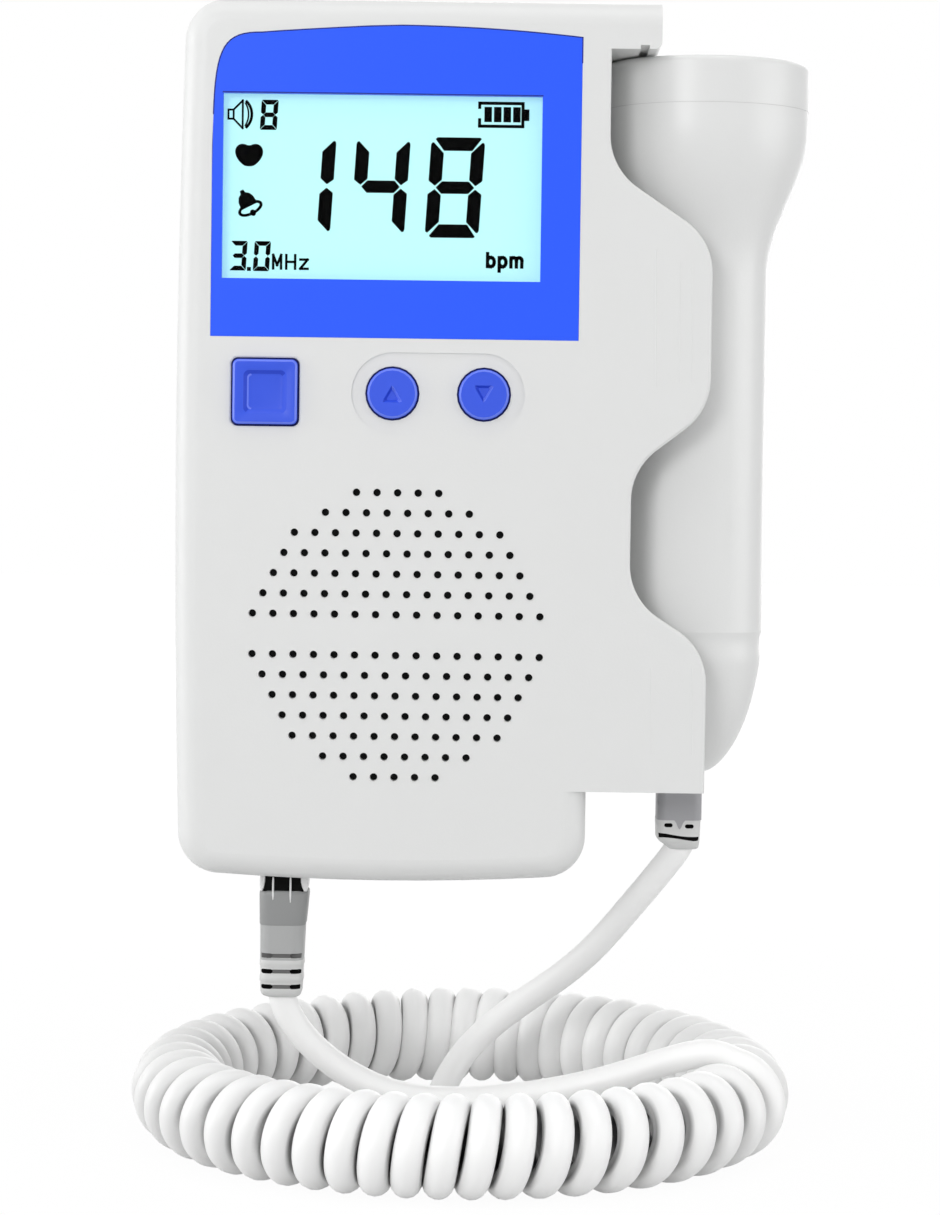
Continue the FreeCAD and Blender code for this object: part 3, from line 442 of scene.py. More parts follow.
def carved(piece: Piece, cutters: list[Piece]) -> Piece:
    """Cut other pieces out of one; the walls of each cut take its cutter's finish.

    Args:
        piece: the piece, with its finish.
        cutters: the shapes to take away, each with the finish of its cut. They are removed.

    Returns:
        The cut piece.
    """
    name = piece.name
    for cutter in cutters:
        change = piece.modifiers.new("cut", "BOOLEAN")
        change.operation, change.solver, change.material_mode = "DIFFERENCE", "EXACT", "TRANSFER"
        change.object = cutter
    made = baked(piece, name)
    for cutter in cutters:
        bpy.data.objects.remove(cutter)
    return made


def facing_front(y: float) -> Matrix:
    """The matrix that stands a flat drawing up at a depth, facing -Y, with its thickness either side of y."""
    turn = Matrix(((1, 0, 0, 0), (0, 0, -1, 0), (0, 1, 0, 0), (0, 0, 0, 1)))
    return Matrix.Translation((0, y, 0)) @ turn


def plate(name: str, loops: list[list[Flat]], y: float, thick: float) -> Piece:
    """A flat plate cut to closed outlines, standing in the XZ plane. Millimetres.

    Args:
        name: the piece's name.
        loops: closed outlines as (x, z); one inside another is a hole.
        y: the depth of its front face.
        thick: its thickness, behind the front face.

    Returns:
        The mesh piece.
    """
    curve = bpy.data.curves.new(name + "_outline", "CURVE")
    curve.dimensions = "2D"
    curve.fill_mode = "BOTH"
    curve.extrude = thick * MM / 2
    for loop in loops:
        spline = curve.splines.new("POLY")
        spline.points.add(len(loop) - 1)
        for point, (x, z) in zip(spline.points, loop):
            point.co = (x * MM, z * MM, 0, 1)
        spline.use_cyclic_u = True
    return baked(link(name + "_outline", curve), name, facing_front((y + thick / 2) * MM))


def marks(name: str, loops: list[list[Flat]], y: float, thick: float) -> Piece:
    """Thin marks on a face that looks along -Y: each closed outline becomes a prism of its own. Millimetres.

    Args:
        name: the piece's name.
        loops: closed outlines as (x, z), none inside another.
        y: the depth of the marks' front.
        thick: how thick they are.

    Returns:
        The mesh piece.
    """
    points: list[Point] = []
    faces: list[tuple[int, ...]] = []
    for loop in loops:
        count, first = len(loop), len(points)
        for row in upright(loop, (y, y + thick)):
            points += row
        faces.append(tuple(first + i for i in range(count)))
        faces.append(tuple(first + count + i for i in reversed(range(count))))
        for i in range(count):
            j = (i + 1) % count
            faces.append((first + i, first + count + i, first + count + j, first + j))
    return outwards(link(name, mesh_of(name, points, [], faces)))


def strokes(path: list[Flat], width: float) -> list[list[Flat]]:
    """A bent line as one closed outline for each of its runs, each a little longer than its run.

    Args:
        path: the line's points.
        width: how wide it is drawn.

    Returns:
        The outlines, which overlap at the bends.
    """
    made = []
    half = width / 2
    for (x0, z0), (x1, z1) in zip(path, path[1:]):
        length = math.hypot(x1 - x0, z1 - z0)
        ux, uz = (x1 - x0) / length * half, (z1 - z0) / length * half
        made.append([(x0 - ux - uz, z0 - uz + ux), (x0 - ux + uz, z0 - uz - ux), (x1 + ux + uz, z1 + uz - ux),
                     (x1 + ux - uz, z1 + uz + ux)])
    return made


def box_loop(x0: float, z0: float, x1: float, z1: float) -> list[Flat]:
    """A rectangle as a closed outline."""
    return [(x0, z0), (x1, z0), (x1, z1), (x0, z1)]


def arc_points(centre: Flat, radius: float, start: float, end: float, steps: int) -> list[Flat]:
    """Points along an arc.

    Args:
        centre: its centre.
        radius: its radius.
        start: first angle in degrees, from +X towards +Z.
        end: last angle in degrees.
        steps: how many chords it has.

    Returns:
        The points, both ends included.
    """
    made = []
    for i in range(steps + 1):
        t = math.radians(start + (end - start) * i / steps)
        made.append((centre[0] + radius * math.cos(t), centre[1] + radius * math.sin(t)))
    return made


# ---- grown pieces
class Growth(Tree):
    """A geometry node tree with named inputs."""

    def __init__(self, name: str) -> None:
        """Start a named tree that takes a geometry and gives one back."""
        super().__init__(bpy.data.node_groups.new(name, "GeometryNodeTree"))
        for way in ("INPUT", "OUTPUT"):
            self.tree.interface.new_socket("Geometry", in_out=way, socket_type="NodeSocketGeometry")
        self.source = self.add("NodeGroupInput")
        self.result = self.add("NodeGroupOutput")
        self.names: dict[str, str] = {}
        self.measure("Finish", "NodeSocketMaterial")

    def measure(self, name: str, kind: str = "NodeSocketFloat") -> Socket:
        """Add a named input of a socket type to the tree and return its socket inside."""
        item = self.tree.interface.new_socket(name, in_out="INPUT", socket_type=kind)
        self.names[name] = item.identifier
        return self.source.outputs[name]

    def circle(self, name: str, count: int) -> Socket:
        """A circle of a count of chords, whose radius is a named input."""
        made = self.add("GeometryNodeCurvePrimitiveCircle", Resolution=count, Radius=self.measure(name))
        return made.outputs[0]

    def close(self, geometry: Socket) -> None:
        """End the tree: smooth shading, real geometry and the finish."""
        shaded = self.add("GeometryNodeSetShadeSmooth", Geometry=geometry)
        real = self.add("GeometryNodeRealizeInstances", Geometry=shaded.outputs[0])
        dressed = self.add("GeometryNodeSetMaterial", Geometry=real.outputs[0],
                           Material=self.source.outputs["Finish"])
        self.set(self.result.inputs[0], dressed.outputs[0])

    def grow(self, name: str, seed: bpy.types.Mesh, finish: Finish, **sizes: float) -> Piece:
        """Run the tree over a mesh and keep what it makes as a plain mesh.

        Args:
            name: the piece's name.
            seed: the points or edges that the tree starts from.
            finish: the finish.
            **sizes: the named inputs in millimetres, with underscores for spaces.

        Returns:
            The mesh piece.
        """
        source = link(name + "_seed", seed)
        modifier = source.modifiers.new("grow", "NODES")
        modifier.node_group = self.tree
        modifier[self.names["Finish"]] = material(finish)
        for key, value in sizes.items():
            modifier[self.names[key.replace("_", " ")]] = value * MM
        return baked(source, name)


def ramp(value: float, low: float, high: float) -> float:
    """A soft step from 0 at a low value to 1 at a high one."""
    t = min(1.0, max(0.0, (value - low) / (high - low)))
    return t * t * (3 - 2 * t)


def seed_lines(name: str, lines: list[list[Point]]) -> bpy.types.Mesh:
    """A mesh of bent lines, given in millimetres; a line whose last point is its first is closed."""
    points: list[Point] = []
    edges: list[tuple[int, int]] = []
    for line in lines:
        ring = math.dist(line[0], line[-1]) < 1e-6
        run = line[:-1] if ring else line
        first = len(points)
        points += run
        edges += [(first + i, first + i + 1) for i in range(len(run) - 1)]
        if ring:
            edges.append((first + len(run) - 1, first))
    return mesh_of(name, points, edges, [])


def rim_tree() -> Growth:
    """Round lips that lie in the XZ plane, one on each point."""
    tree = Growth("round_lips")
    ring, wire = (tree.circle(name, count) for name, count in (("Lip Radius", 18), ("Lip Wire", 6)))
    lip = tree.add("GeometryNodeCurveToMesh", Curve=ring, Profile_Curve=wire)
    spread = tree.add("GeometryNodeInstanceOnPoints", Points=tree.source.outputs["Geometry"],
                      Instance=lip.outputs[0], Rotation=(math.pi / 2, 0.0, 0.0))
    tree.close(spread.outputs[0])
    return tree


def bead_tree() -> Growth:
    """A fine round bead along every line."""
    tree = Growth("fine_beads")
    lines = tree.add("GeometryNodeMeshToCurve", Mesh=tree.source.outputs["Geometry"])
    bead = tree.add("GeometryNodeCurveToMesh", Curve=lines.outputs[0], Fill_Caps=True,
                    Profile_Curve=tree.circle("Bead Radius", 8))
    tree.close(bead.outputs[0])
    return tree


def rim_line(node: str, axis: int, at: float) -> list[Point]:
    """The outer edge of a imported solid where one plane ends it, as a closed line.

    Args:
        node: the solid's name.
        axis: 0, 1 or 2, the axis that the plane crosses.
        at: the plane's place on it, in millimetres.

    Returns:
        The line's points in millimetres, the first again at the end.
    """

    def on_plane(vertex: bmesh.types.BMVert) -> bool:
        """Whether a point lies on the plane, to within two thousandths of a millimetre."""
        return abs(vertex.co[axis] / MM - at) < 0.002

    work = bmesh.new()
    work.from_mesh(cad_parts[node].data)
    bmesh.ops.remove_doubles(work, verts=work.verts, dist=1e-6)
    near: dict[int, list[int]] = {}
    for edge in work.edges:
        level = [all(on_plane(v) for v in face.verts) for face in edge.link_faces]
        if all(on_plane(v) for v in edge.verts) and level.count(True) == 1:
            a, b = (v.index for v in edge.verts)
            near.setdefault(a, []).append(b)
            near.setdefault(b, []).append(a)
    work.verts.ensure_lookup_table()
    spots = {i: tuple(c / MM for c in work.verts[i].co) for i in near}
    work.free()
    other = 0 if axis != 0 else 1
    start = min(near, key=lambda i: spots[i][other])
    line, last, here = [start], None, start
    while True:
        ahead = [i for i in near[here] if i != last and (i == start or i not in line)]
        if not ahead:
            break
        last, here = here, ahead[0]
        line.append(here)
        if here == start:
            break
    return [spots[i] for i in line]


# ---- the lead
@dataclass
class CurlyLead:
    """The one lead: from the plug's boot, round the ring of curls and up to the probe's boot. Millimetres."""

    diameter: float = 4.4
    ring_centre: Flat = (10.8, -20.0)
    ring_radius: float = 44.7
    rests_at: float = -110.4
    coil_radius: float = 7.75
    far_bulge: float = 0.55
    far_side: float = 76.0
    start_angle: float = -15.8
    sweep: float = -351.0
    crowding: float = 5.62
    crowded_at: float = -101.5
    turns: float = 48.5
    coil_swell: float = 1.07
    points_per_turn: int = 18
    loose_first: float = 1.5
    # Where painted shade falls: facing a neighbouring curl, facing the coil's inside, and on the ring's left
    # and right sides (left darker).
    crease_beside: Flat = (0.94, 1.01)
    crease_inside: Flat = (0.5, 0.95)
    painted_side_shade: Flat = (0.26, 0.11)
    fade_turns: float = 1.2
    unit_route: tuple[Point, ...] = (
        (-18.0, -23.0, -86.5),
        (-17.6, -23.0, -88.3),
        (-17.0, -23.0, -90.3),
        (-15.0, -23.1, -93.6),
        (-11.4, -23.4, -97.2),
        (-6.4, -24.0, -100.6),
        (1.0, -25.4, -103.4),
        (11.4, -27.0, -103.8),
        (22.6, -28.5, -102.2),
        (33.4, -30.0, -99.6),
        (42.6, -31.4, -96.1),
        (49.6, -32.3, -94.0),
    )
    probe_route: tuple[Point, ...] = (
        (45.9, -17.6, -62.6),
        (45.3, -17.4, -64.2),
        (43.2, -16.2, -67.2),
        (40.6, -14.6, -70.8),
        (37.8, -12.6, -74.6),
        (34.9, -10.2, -78.6),
        (31.4, -7.4, -83.0),
        (26.9, -4.2, -87.4),
        (21.3, -1.0, -91.8),
        (15.8, 0.4, -96.2),
        (10.8, -0.8, -101.2),
        (7.8, -5.4, -105.8),
        (6.8, -12.6, -108.2),
        (7.8, -22.0, -108.2),
        (11.8, -31.0, -108.2),
        (19.4, -36.8, -108.2),
        (28.6, -37.4, -108.2),
        (37.0, -34.2, -108.2),
        (43.6, -30.2, -108.2),
        (49.6, -27.2, -108.2),
    )
    boots: tuple[str, ...] = (
        "plug_collar", "plug_contacts", "plug_grip_cover", "plug_sleeve", "plug_wing_left",
        "plug_wing_right", "plug_clip_left", "plug_clip_right", "probe_boot", "probe_sleeve")

    def coil_outside(self, around: float) -> float:
        """The curls' outer radius where the ring has turned to an angle in radians."""
        far = max(0.0, math.cos(around - math.radians(self.far_side)))
        return self.coil_radius + self.far_bulge * far ** 4

    def curl(self, share: float) -> Point:
        """A point of the ring's helix, whose turns lie closer together at the ring's sides.

        Args:
            share: how far along the ring, from 0 to 1.

        Returns:
            The point in millimetres.
        """
        turn = self.turns * share
        even = self.start_angle + self.sweep * share
        around = math.radians(even - self.crowding * math.sin(math.radians(2 * (even - self.crowded_at))))
        tilt = math.pi / 2 - 2 * math.pi * turn
        outside = self.coil_outside(around)
        loose = self.loose_first * math.exp(-2.2 * turn) * min(1.0, 1.0 + math.sin(tilt))
        radius = outside - self.diameter * self.coil_swell / 2 + loose
        out = self.ring_radius + radius * math.cos(tilt)
        x, y = self.ring_centre
        return (x + out * math.cos(around), y + out * math.sin(around),
                self.rests_at + outside + radius * math.sin(tilt))

    def route(self) -> list[Point]:
        """The lead's control points from the plug's boot to the probe's boot."""
        steps = round(self.turns * self.points_per_turn)
        curls = (self.curl(i / steps) for i in range(steps + 1))
        return [*self.unit_route, *curls, *reversed(self.probe_route)]

    def spline(self, name: str, bevel: float) -> Piece:
        """The lead's smooth curve, as a tube of a radius in metres or, with a radius of 0, as a bare line."""
        curve = bpy.data.curves.new(name, "CURVE")
        curve.dimensions = "3D"
        curve.resolution_u = 3
        curve.bevel_depth = bevel
        curve.bevel_resolution = 6
        points = self.route()
        spline = curve.splines.new("NURBS")
        spline.points.add(len(points) - 1)
        first, last = len(self.unit_route), len(points) - len(self.probe_route)
        for i, (point, co) in enumerate(zip(spline.points, points)):
            point.co = (*(c * MM for c in co), 1.0)
            point.radius = self.coil_swell if first <= i < last else 1.0
        spline.order_u = 3
        spline.use_endpoint_u = True
        return link(name, curve)

    def paint_crease_shade(self, tube: Piece, path: list[Point]) -> None:
        """Paint shade where a curl faces its neighbours and where it faces the inside of the coil, and on the
        ring's left and right sides.

        Args:
            tube: the lead's tube, whose points lie in rings about the path's points.
            path: the tube's path, in metres.
        """
        around = len(tube.data.vertices) // len(path)
        painted_shade = tube.data.attributes.new("painted_shade", "FLOAT", "POINT")
        centre = Vector((*self.ring_centre, 0.0)) * MM
        controls = len(self.route())
        first, last = len(self.unit_route) / controls, 1 - len(self.probe_route) / controls
        for i, spot in enumerate(path):
            if not first < i / len(path) < last:
                continue
            here = Vector(spot)
            out = Vector((here.x - centre.x, here.y - centre.y, 0.0)).normalized()
            along = Vector((-out.y, out.x, 0.0))
            core = centre + out * self.ring_radius * MM
            core.z = (self.rests_at + self.coil_outside(math.atan2(out.y, out.x))) * MM
            inwards = (core - here).normalized()
            starts = ramp(i / len(path), first, first + self.fade_turns / self.turns)
            # Painted shade on the ring's left and right sides, darker on the left.
            painted_side_shade = starts * out.x * out.x * self.painted_side_shade[0 if out.x < 0.0 else 1]
            for k in range(i * around, (i + 1) * around):
                away = (tube.data.vertices[k].co - here).normalized()
                beside, inside = abs(away.dot(along)), away.dot(inwards)
                crease = max(ramp(beside, *self.crease_beside), ramp(inside, *self.crease_inside))
                painted_shade.data[k].value = max(starts * crease, painted_side_shade * (0.5 + 0.5 * ramp(beside, 0.0, 0.9)))

    def build(self) -> None:
        line = baked(self.spline("lead_line", 0.0), "lead_path")
        path = [tuple(v.co) for v in line.data.vertices]
        bpy.data.objects.remove(line)
        tube = baked(self.spline("lead_curve", self.diameter / 2 * MM), "curly_lead")
        tube.data.shade_smooth()
        self.paint_crease_shade(tube, path)
        coat(tube, LEAD_WHITE)
        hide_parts("lead_from_unit", "lead_to_probe", "lead_curls")
        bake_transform(tube)


# ---- display
@dataclass
class Display:
    """The printed window, the liquid-crystal glass and its black segments. Millimetres."""

    left: float = -29.0
    right: float = 27.4
    bottom: float = 16.1
    top: float = 62.2
    top_bow: float = 1.5
    corner: float = 3.4
    thick: float = 1.2
    window: tuple[float, float, float, float] = (-27.5, 24.9, 21.5, 53.25)
    front: float = -35.0
    glass_front: float = -33.0
    ink: float = 0.06
    print_grow: float = 0.12
    pocket_grow: float = 0.28
    side_meets: float = 42.0
    rim_pen: float = 0.2
    rim_from: float = 58.5
    slant: float = math.tan(math.radians(3.4))
    figures: str = "148"
    figure_size: Flat = (8.3, 15.4)
    figure_stroke: float = 2.05
    figure_low: float = 31.65
    figure_lefts: tuple[float, ...] = (-19.33, -7.9, 3.58)
    small_figures: tuple[tuple[str, Flat, Flat, float], ...] = (
        ("8", (-22.0, 47.85), (2.6, 4.6), 0.72), ("3", (-26.5, 26.2), (2.55, 4.55), 0.72),
        ("0", (-22.85, 26.15), (2.5, 4.6), 0.70))
    small_point: tuple[float, float, float, float] = (-23.75, 26.15, -23.15, 26.75)
    heart_at: Flat = (-23.6, 43.95)
    heart_size: Flat = (4.3, 3.4)
    bell_at: Flat = (-23.75, 36.6)
    bell_size: Flat = (3.8, 4.3)
    speaker_at: Flat = (-27.0, 47.9)
    battery_at: Flat = (11.6, 48.6)
    battery_size: Flat = (7.9, 4.0)
    words: tuple[tuple[str, Flat, tuple[float, ...], float, float, float], ...] = (
        ("MHz", (-19.9, 26.4), (1.6, 1.75, 1.5), 2.45, 0.38, 0.42),
        ("bpm", (13.1, 27.05), (1.55, 1.55, 2.2), 2.5, 0.52, 0.26))

    def bow(self, grow: float, left: float, right: float, steps: int = 20) -> list[Flat]:
        """The pocket's bowed top, grown by a distance, from the right to the left."""
        mid, half = (self.left + self.right) / 2, (self.right - self.left) / 2
        radius = (half ** 2 + self.top_bow ** 2) / (2 * self.top_bow)
        low = self.top + self.top_bow - radius
        made = []
        for i in range(steps + 1):
            x = right + (left - right) * i / steps
            made.append((x, low + math.sqrt((radius + grow) ** 2 - (x - mid) ** 2)))
        return made

    def soft_corner(self) -> list[Flat]:
        """The print's wide round corner at the top left, from the top down to the left side."""
        a, b, c, d = (-21.65, 62.5), (-27.4, 62.5), (-28.75, 60.4), (-28.98, 50.0)
        made = [(-5.0, 63.65), (-10.0, 63.35), (-15.09, 63.01), (-17.28, 62.85), (-19.46, 62.69)]
        for i in range(17):
            t = i / 16
            u = 1 - t
            made.append(tuple(u ** 3 * p + 3 * u * u * t * q + 3 * u * t * t * r + t ** 3 * v
                              for p, q, r, v in zip(a, b, c, d)))
        return made

    def outline(self) -> list[Flat]:
        """The print's outline: nearly the pocket's, with a wide round corner at the top left."""
        g = self.print_grow
        left, right, low = self.left - g, self.right + g, self.bottom - g
        return [(left, self.side_meets), (left, low), (right, low), *self.bow(g, 0.0, right),
                *self.soft_corner()]

    def corner_fill(self) -> list[Flat]:
        """The white crescent between the print's round corner and the pocket's."""
        g = self.pocket_grow
        centre = (self.left + self.corner, self.top - self.corner + 0.25)
        turned = arc_points(centre, self.corner + g, 96.0, 180.0, 10)
        return [*self.bow(g, centre[0] - 0.5, 0.0), *turned, (self.left - g, self.side_meets),
                *reversed(self.soft_corner())]

    def segment(self, low: Flat, size: Flat, stroke: float, name: str) -> list[Flat]:
        """One bar of a seven-bar figure.

        Args:
            low: the figure's lower left corner.
            size: the figure's width and height.
            stroke: the bars' width.
            name: the bar, a to g clockwise from the top and g in the middle.

        Returns:
            The bar's outline.
        """
        w, h = size
        s, half, tip = stroke, stroke / 2, stroke * 0.366
        mid = h / 2
        if s > 1.0:
            gap = s * 0.08
            flat = [(s * 0.46, h), (w - s * 0.37, h), (w - s * 0.27, h - s * 0.10), (w - s * 0.92, h - s),
                    (s, h - s), (s * 0.32, h - s * 0.14)]
            side = [(0, h - tip - s * 0.22), (s * 0.05, h - tip - s * 0.06), (s * 0.19, h - tip),
                    (s, h - s - 2.3 * gap)]
        else:
            gap = s * 0.05
            flat = [(s * 0.22, h), (w - s * 0.22, h), (w - s * 0.1, h - s * 0.1), (w - s, h - s), (s, h - s),
                    (s * 0.1, h - s * 0.1)]
            side = [(0, h - s * 0.24), (s * 0.06, h - s * 0.2), (s, h - s * 1.16)]
        rise = half - gap / 2
        bars = {
            "a": flat,
            "f": [*side, (s, mid + half + gap), (half, mid + 1.6 * gap), (0, mid + half)],
            "g": [(half + gap, mid), (s, mid + rise), (w - s, mid + rise), (w - half - gap, mid),
                  (w - s, mid - rise), (s, mid - rise)],
        }
        bars["d"] = [(x, h - z) for x, z in bars["a"]]
        bars["e"] = [(x, h - z) for x, z in bars["f"]]
        bars["b"] = [(w - x, z) for x, z in bars["f"]]
        bars["c"] = [(w - x, z) for x, z in bars["e"]]
        return [(low[0] + x + z * self.slant, low[1] + z) for x, z in bars[name]]

    def figure(self, digit: str, low: Flat, size: Flat, stroke: float) -> list[list[Flat]]:
        """The lit bars of one figure."""
        lit = {"0": "abcdef", "1": "bc", "3": "abcdg", "4": "bcfg", "8": "abcdefg"}[digit]
        return [self.segment(low, size, stroke, bar) for bar in lit]

    def heart(self) -> list[Flat]:
        """A broad heart with a shallow notch, as one outline."""
        (x0, z0), (w, h) = self.heart_at, self.heart_size
        half = [(0.0, 0.41), (0.18, 0.51), (0.34, 0.49), (0.47, 0.35), (0.51, 0.14), (0.46, -0.10),
                (0.32, -0.34), (0.15, -0.50)]
        made = [*half, (0.0, -0.51), *((-x, z) for x, z in reversed(half[1:]))]
        for _ in range(2):
            made = [(a[0] + (b[0] - a[0]) * t, a[1] + (b[1] - a[1]) * t)
                    for a, b in zip(made, [*made[1:], made[0]]) for t in (0.25, 0.75)]
        return [(x0 + x * w, z0 + z * h) for x, z in made]

    def bell(self) -> list[list[Flat]]:
        """A bell that leans to the left over its open rim."""
        (x0, z0), (w, h) = self.bell_at, self.bell_size
        tilt = math.radians(27)
        dome = [(-0.36, -0.14), (-0.33, 0.14), (-0.24, 0.30), (-0.10, 0.38), (-0.08, 0.50), (0.08, 0.50),
                (0.10, 0.38), (0.24, 0.30), (0.33, 0.14), (0.36, -0.14)]
        rim = [(x, -0.22 + z * 0.40) for x, z in arc_points((0, 0), 0.47, 0, 360, 20)]
        clapper = [(x + 0.02, -0.40 + z) for x, z in arc_points((0, 0), 0.12, 0, 330, 11)]

        def put(x: float, z: float) -> Flat:
            """Turn a point of the bell about its middle and move it to its place."""
            across, up = x * w, z * h
            return (x0 + across * math.cos(tilt) - up * math.sin(tilt),
                    z0 + across * math.sin(tilt) + up * math.cos(tilt))

        return [[put(*p) for p in dome], *strokes([put(*p) for p in rim], 0.42), [put(*p) for p in clapper]]

    def speaker(self) -> list[list[Flat]]:
        """A loudspeaker sign drawn in thin lines, with two arcs of sound."""
        x0, z0 = self.speaker_at
        line, mid, high = 0.30, z0 + 2.28, 0.70
        throat, mouth = x0 + 0.95, x0 + 2.35
        back = x0 + line / 2
        horn = [(throat, mid + high), (back, mid + high), (back, mid - high), (throat, mid - high)]
        cone = [horn[3], (mouth, z0 + 0.15), (mouth, z0 + 4.4), horn[0], horn[3]]
        loops = strokes(horn, line) + strokes(cone, line)
        loops += strokes(arc_points((x0 - 0.05, mid), 3.30, -31, 31, 10), 0.24)
        loops += strokes(arc_points((x0 + 0.95, mid), 2.80, -44, 44, 12), 0.40)
        return loops

    def battery(self) -> list[list[Flat]]:
        """A battery sign: an outline that is open on its left, a nub and four bars."""
        (x0, z0), (w, h) = self.battery_at, self.battery_size
        line, nub, count = 0.48, 0.75, 4
        x1, z1 = x0 + w - nub, z0 + h
        near, far = x0 + line / 2, x1 - line / 2
        low, high = z0 + line / 2, z1 - line / 2
        ring = [(near, z0 + h * 0.30), (near, low), (far, low), (far, high), (near, high),
                (near, z1 - h * 0.22)]
        loops = [*strokes(ring, line), box_loop(x1, z0 + h * 0.28, x1 + nub, z1 - h * 0.28)]
        pitch = (w - 2.0) / count
        for i in range(count):
            left = x0 + 0.98 + i * pitch
            loops.append(box_loop(left, z0 + 0.88, left + pitch * 0.78, z1 - 0.80))
        return loops

    def letter(self, name: str) -> list[list[Flat]]:
        """The pen strokes of one letter in a box one unit wide whose capitals are one unit high."""
        bowl = [(0.5 + 0.5 * x, 0.35 + 0.35 * z) for x, z in arc_points((0, 0), 1.0, 140, -140, 12)]
        hump = [(0.25 + 0.25 * x, 0.46 + 0.24 * z) for x, z in arc_points((0, 0), 1.0, 180, 0, 8)]
        return {
            "M": [[(0, 0), (0, 1), (0.5, 0.25), (1, 1), (1, 0)]],
            "H": [[(0, 0), (0, 1)], [(1, 0), (1, 1)], [(0, 0.5), (1, 0.5)]],
            "z": [[(0, 0.68), (1, 0.68), (0, 0), (1, 0)]],
            "b": [[(0, 0), (0, 1)], bowl],
            "p": [[(0, -0.34), (0, 0.70)], bowl],
            "m": [[(0, 0), (0, 0.70)], [*hump, (0.5, 0)], [*[(x + 0.5, z) for x, z in hump], (1, 0)]],
        }[name]

    def word(self, text: str, low: Flat, widths: tuple[float, ...], high: float, pen: float,
             apart: float) -> list[list[Flat]]:
        """A unit's sign, drawn with a pen.

        Args:
            text: the sign.
            low: the left end of its base line.
            widths: each letter's width.
            high: a capital's height.
            pen: the pen's width.
            apart: the space between two letters.

        Returns:
            The outlines of its strokes.
        """
        loops = []
        left = low[0] + pen / 2
        for name, wide in zip(text, widths):
            for path in self.letter(name):
                placed = [(left + x * (wide - pen), low[1] + pen / 2 + z * (high - pen)) for x, z in path]
                loops += strokes(placed, pen)
            left += wide + apart
        return loops

    def build(self) -> None:
        """Make the window and everything that the glass shows."""
        hole = box_loop(*self.window)
        for name, loops, finish, slot, node in (
                ("window_border", [self.outline(), hole], PRINT_BLUE_PAINTED_GLOW, "lens_print", "lens_print"),
                ("window_clear", [hole], LENS_CLEAR, "lens_clear", "display_lens")):
            settle(plate(name, loops, self.front, self.thick), finish, stands_for=node)
        # A thin navy line of painted shadow along the print's upper outline and just above the window's top
        # edge.
        (x0, _), _, (x1, z1), _ = hole
        g, pen = self.print_grow, self.rim_pen
        top = [(self.right + g, self.rim_from), *self.bow(g, 0.0, self.right + g), *self.soft_corner()]
        edges = strokes(top, pen) + strokes([(x0, z1 + pen / 2), (x1, z1 + pen / 2)], pen)
        settle(marks("window_top_shadow", edges, self.front - 0.006, 0.05), NAVY_PAINTED_SHADOW)
        fill = plate("window_corner", [self.corner_fill()], self.front - 0.004, self.thick - 0.05)
        settle(fill, CASE_WHITE)
        rate = []
        for digit, left in zip(self.figures, self.figure_lefts):
            rate += self.figure(digit, (left, self.figure_low), self.figure_size, self.figure_stroke)
        small = []
        for figure in self.small_figures:
            small += self.figure(*figure)
        small.append(box_loop(*self.small_point))
        signs = [self.heart(), *self.bell(), *self.speaker(), *self.battery()]
        for word in self.words:
            signs += self.word(*word)
        for name, loops in (("lcd_rate", rate), ("lcd_small_figures", small), ("lcd_signs", signs)):
            settle(marks(name, loops, self.glass_front - self.ink, self.ink), LCD_INK)


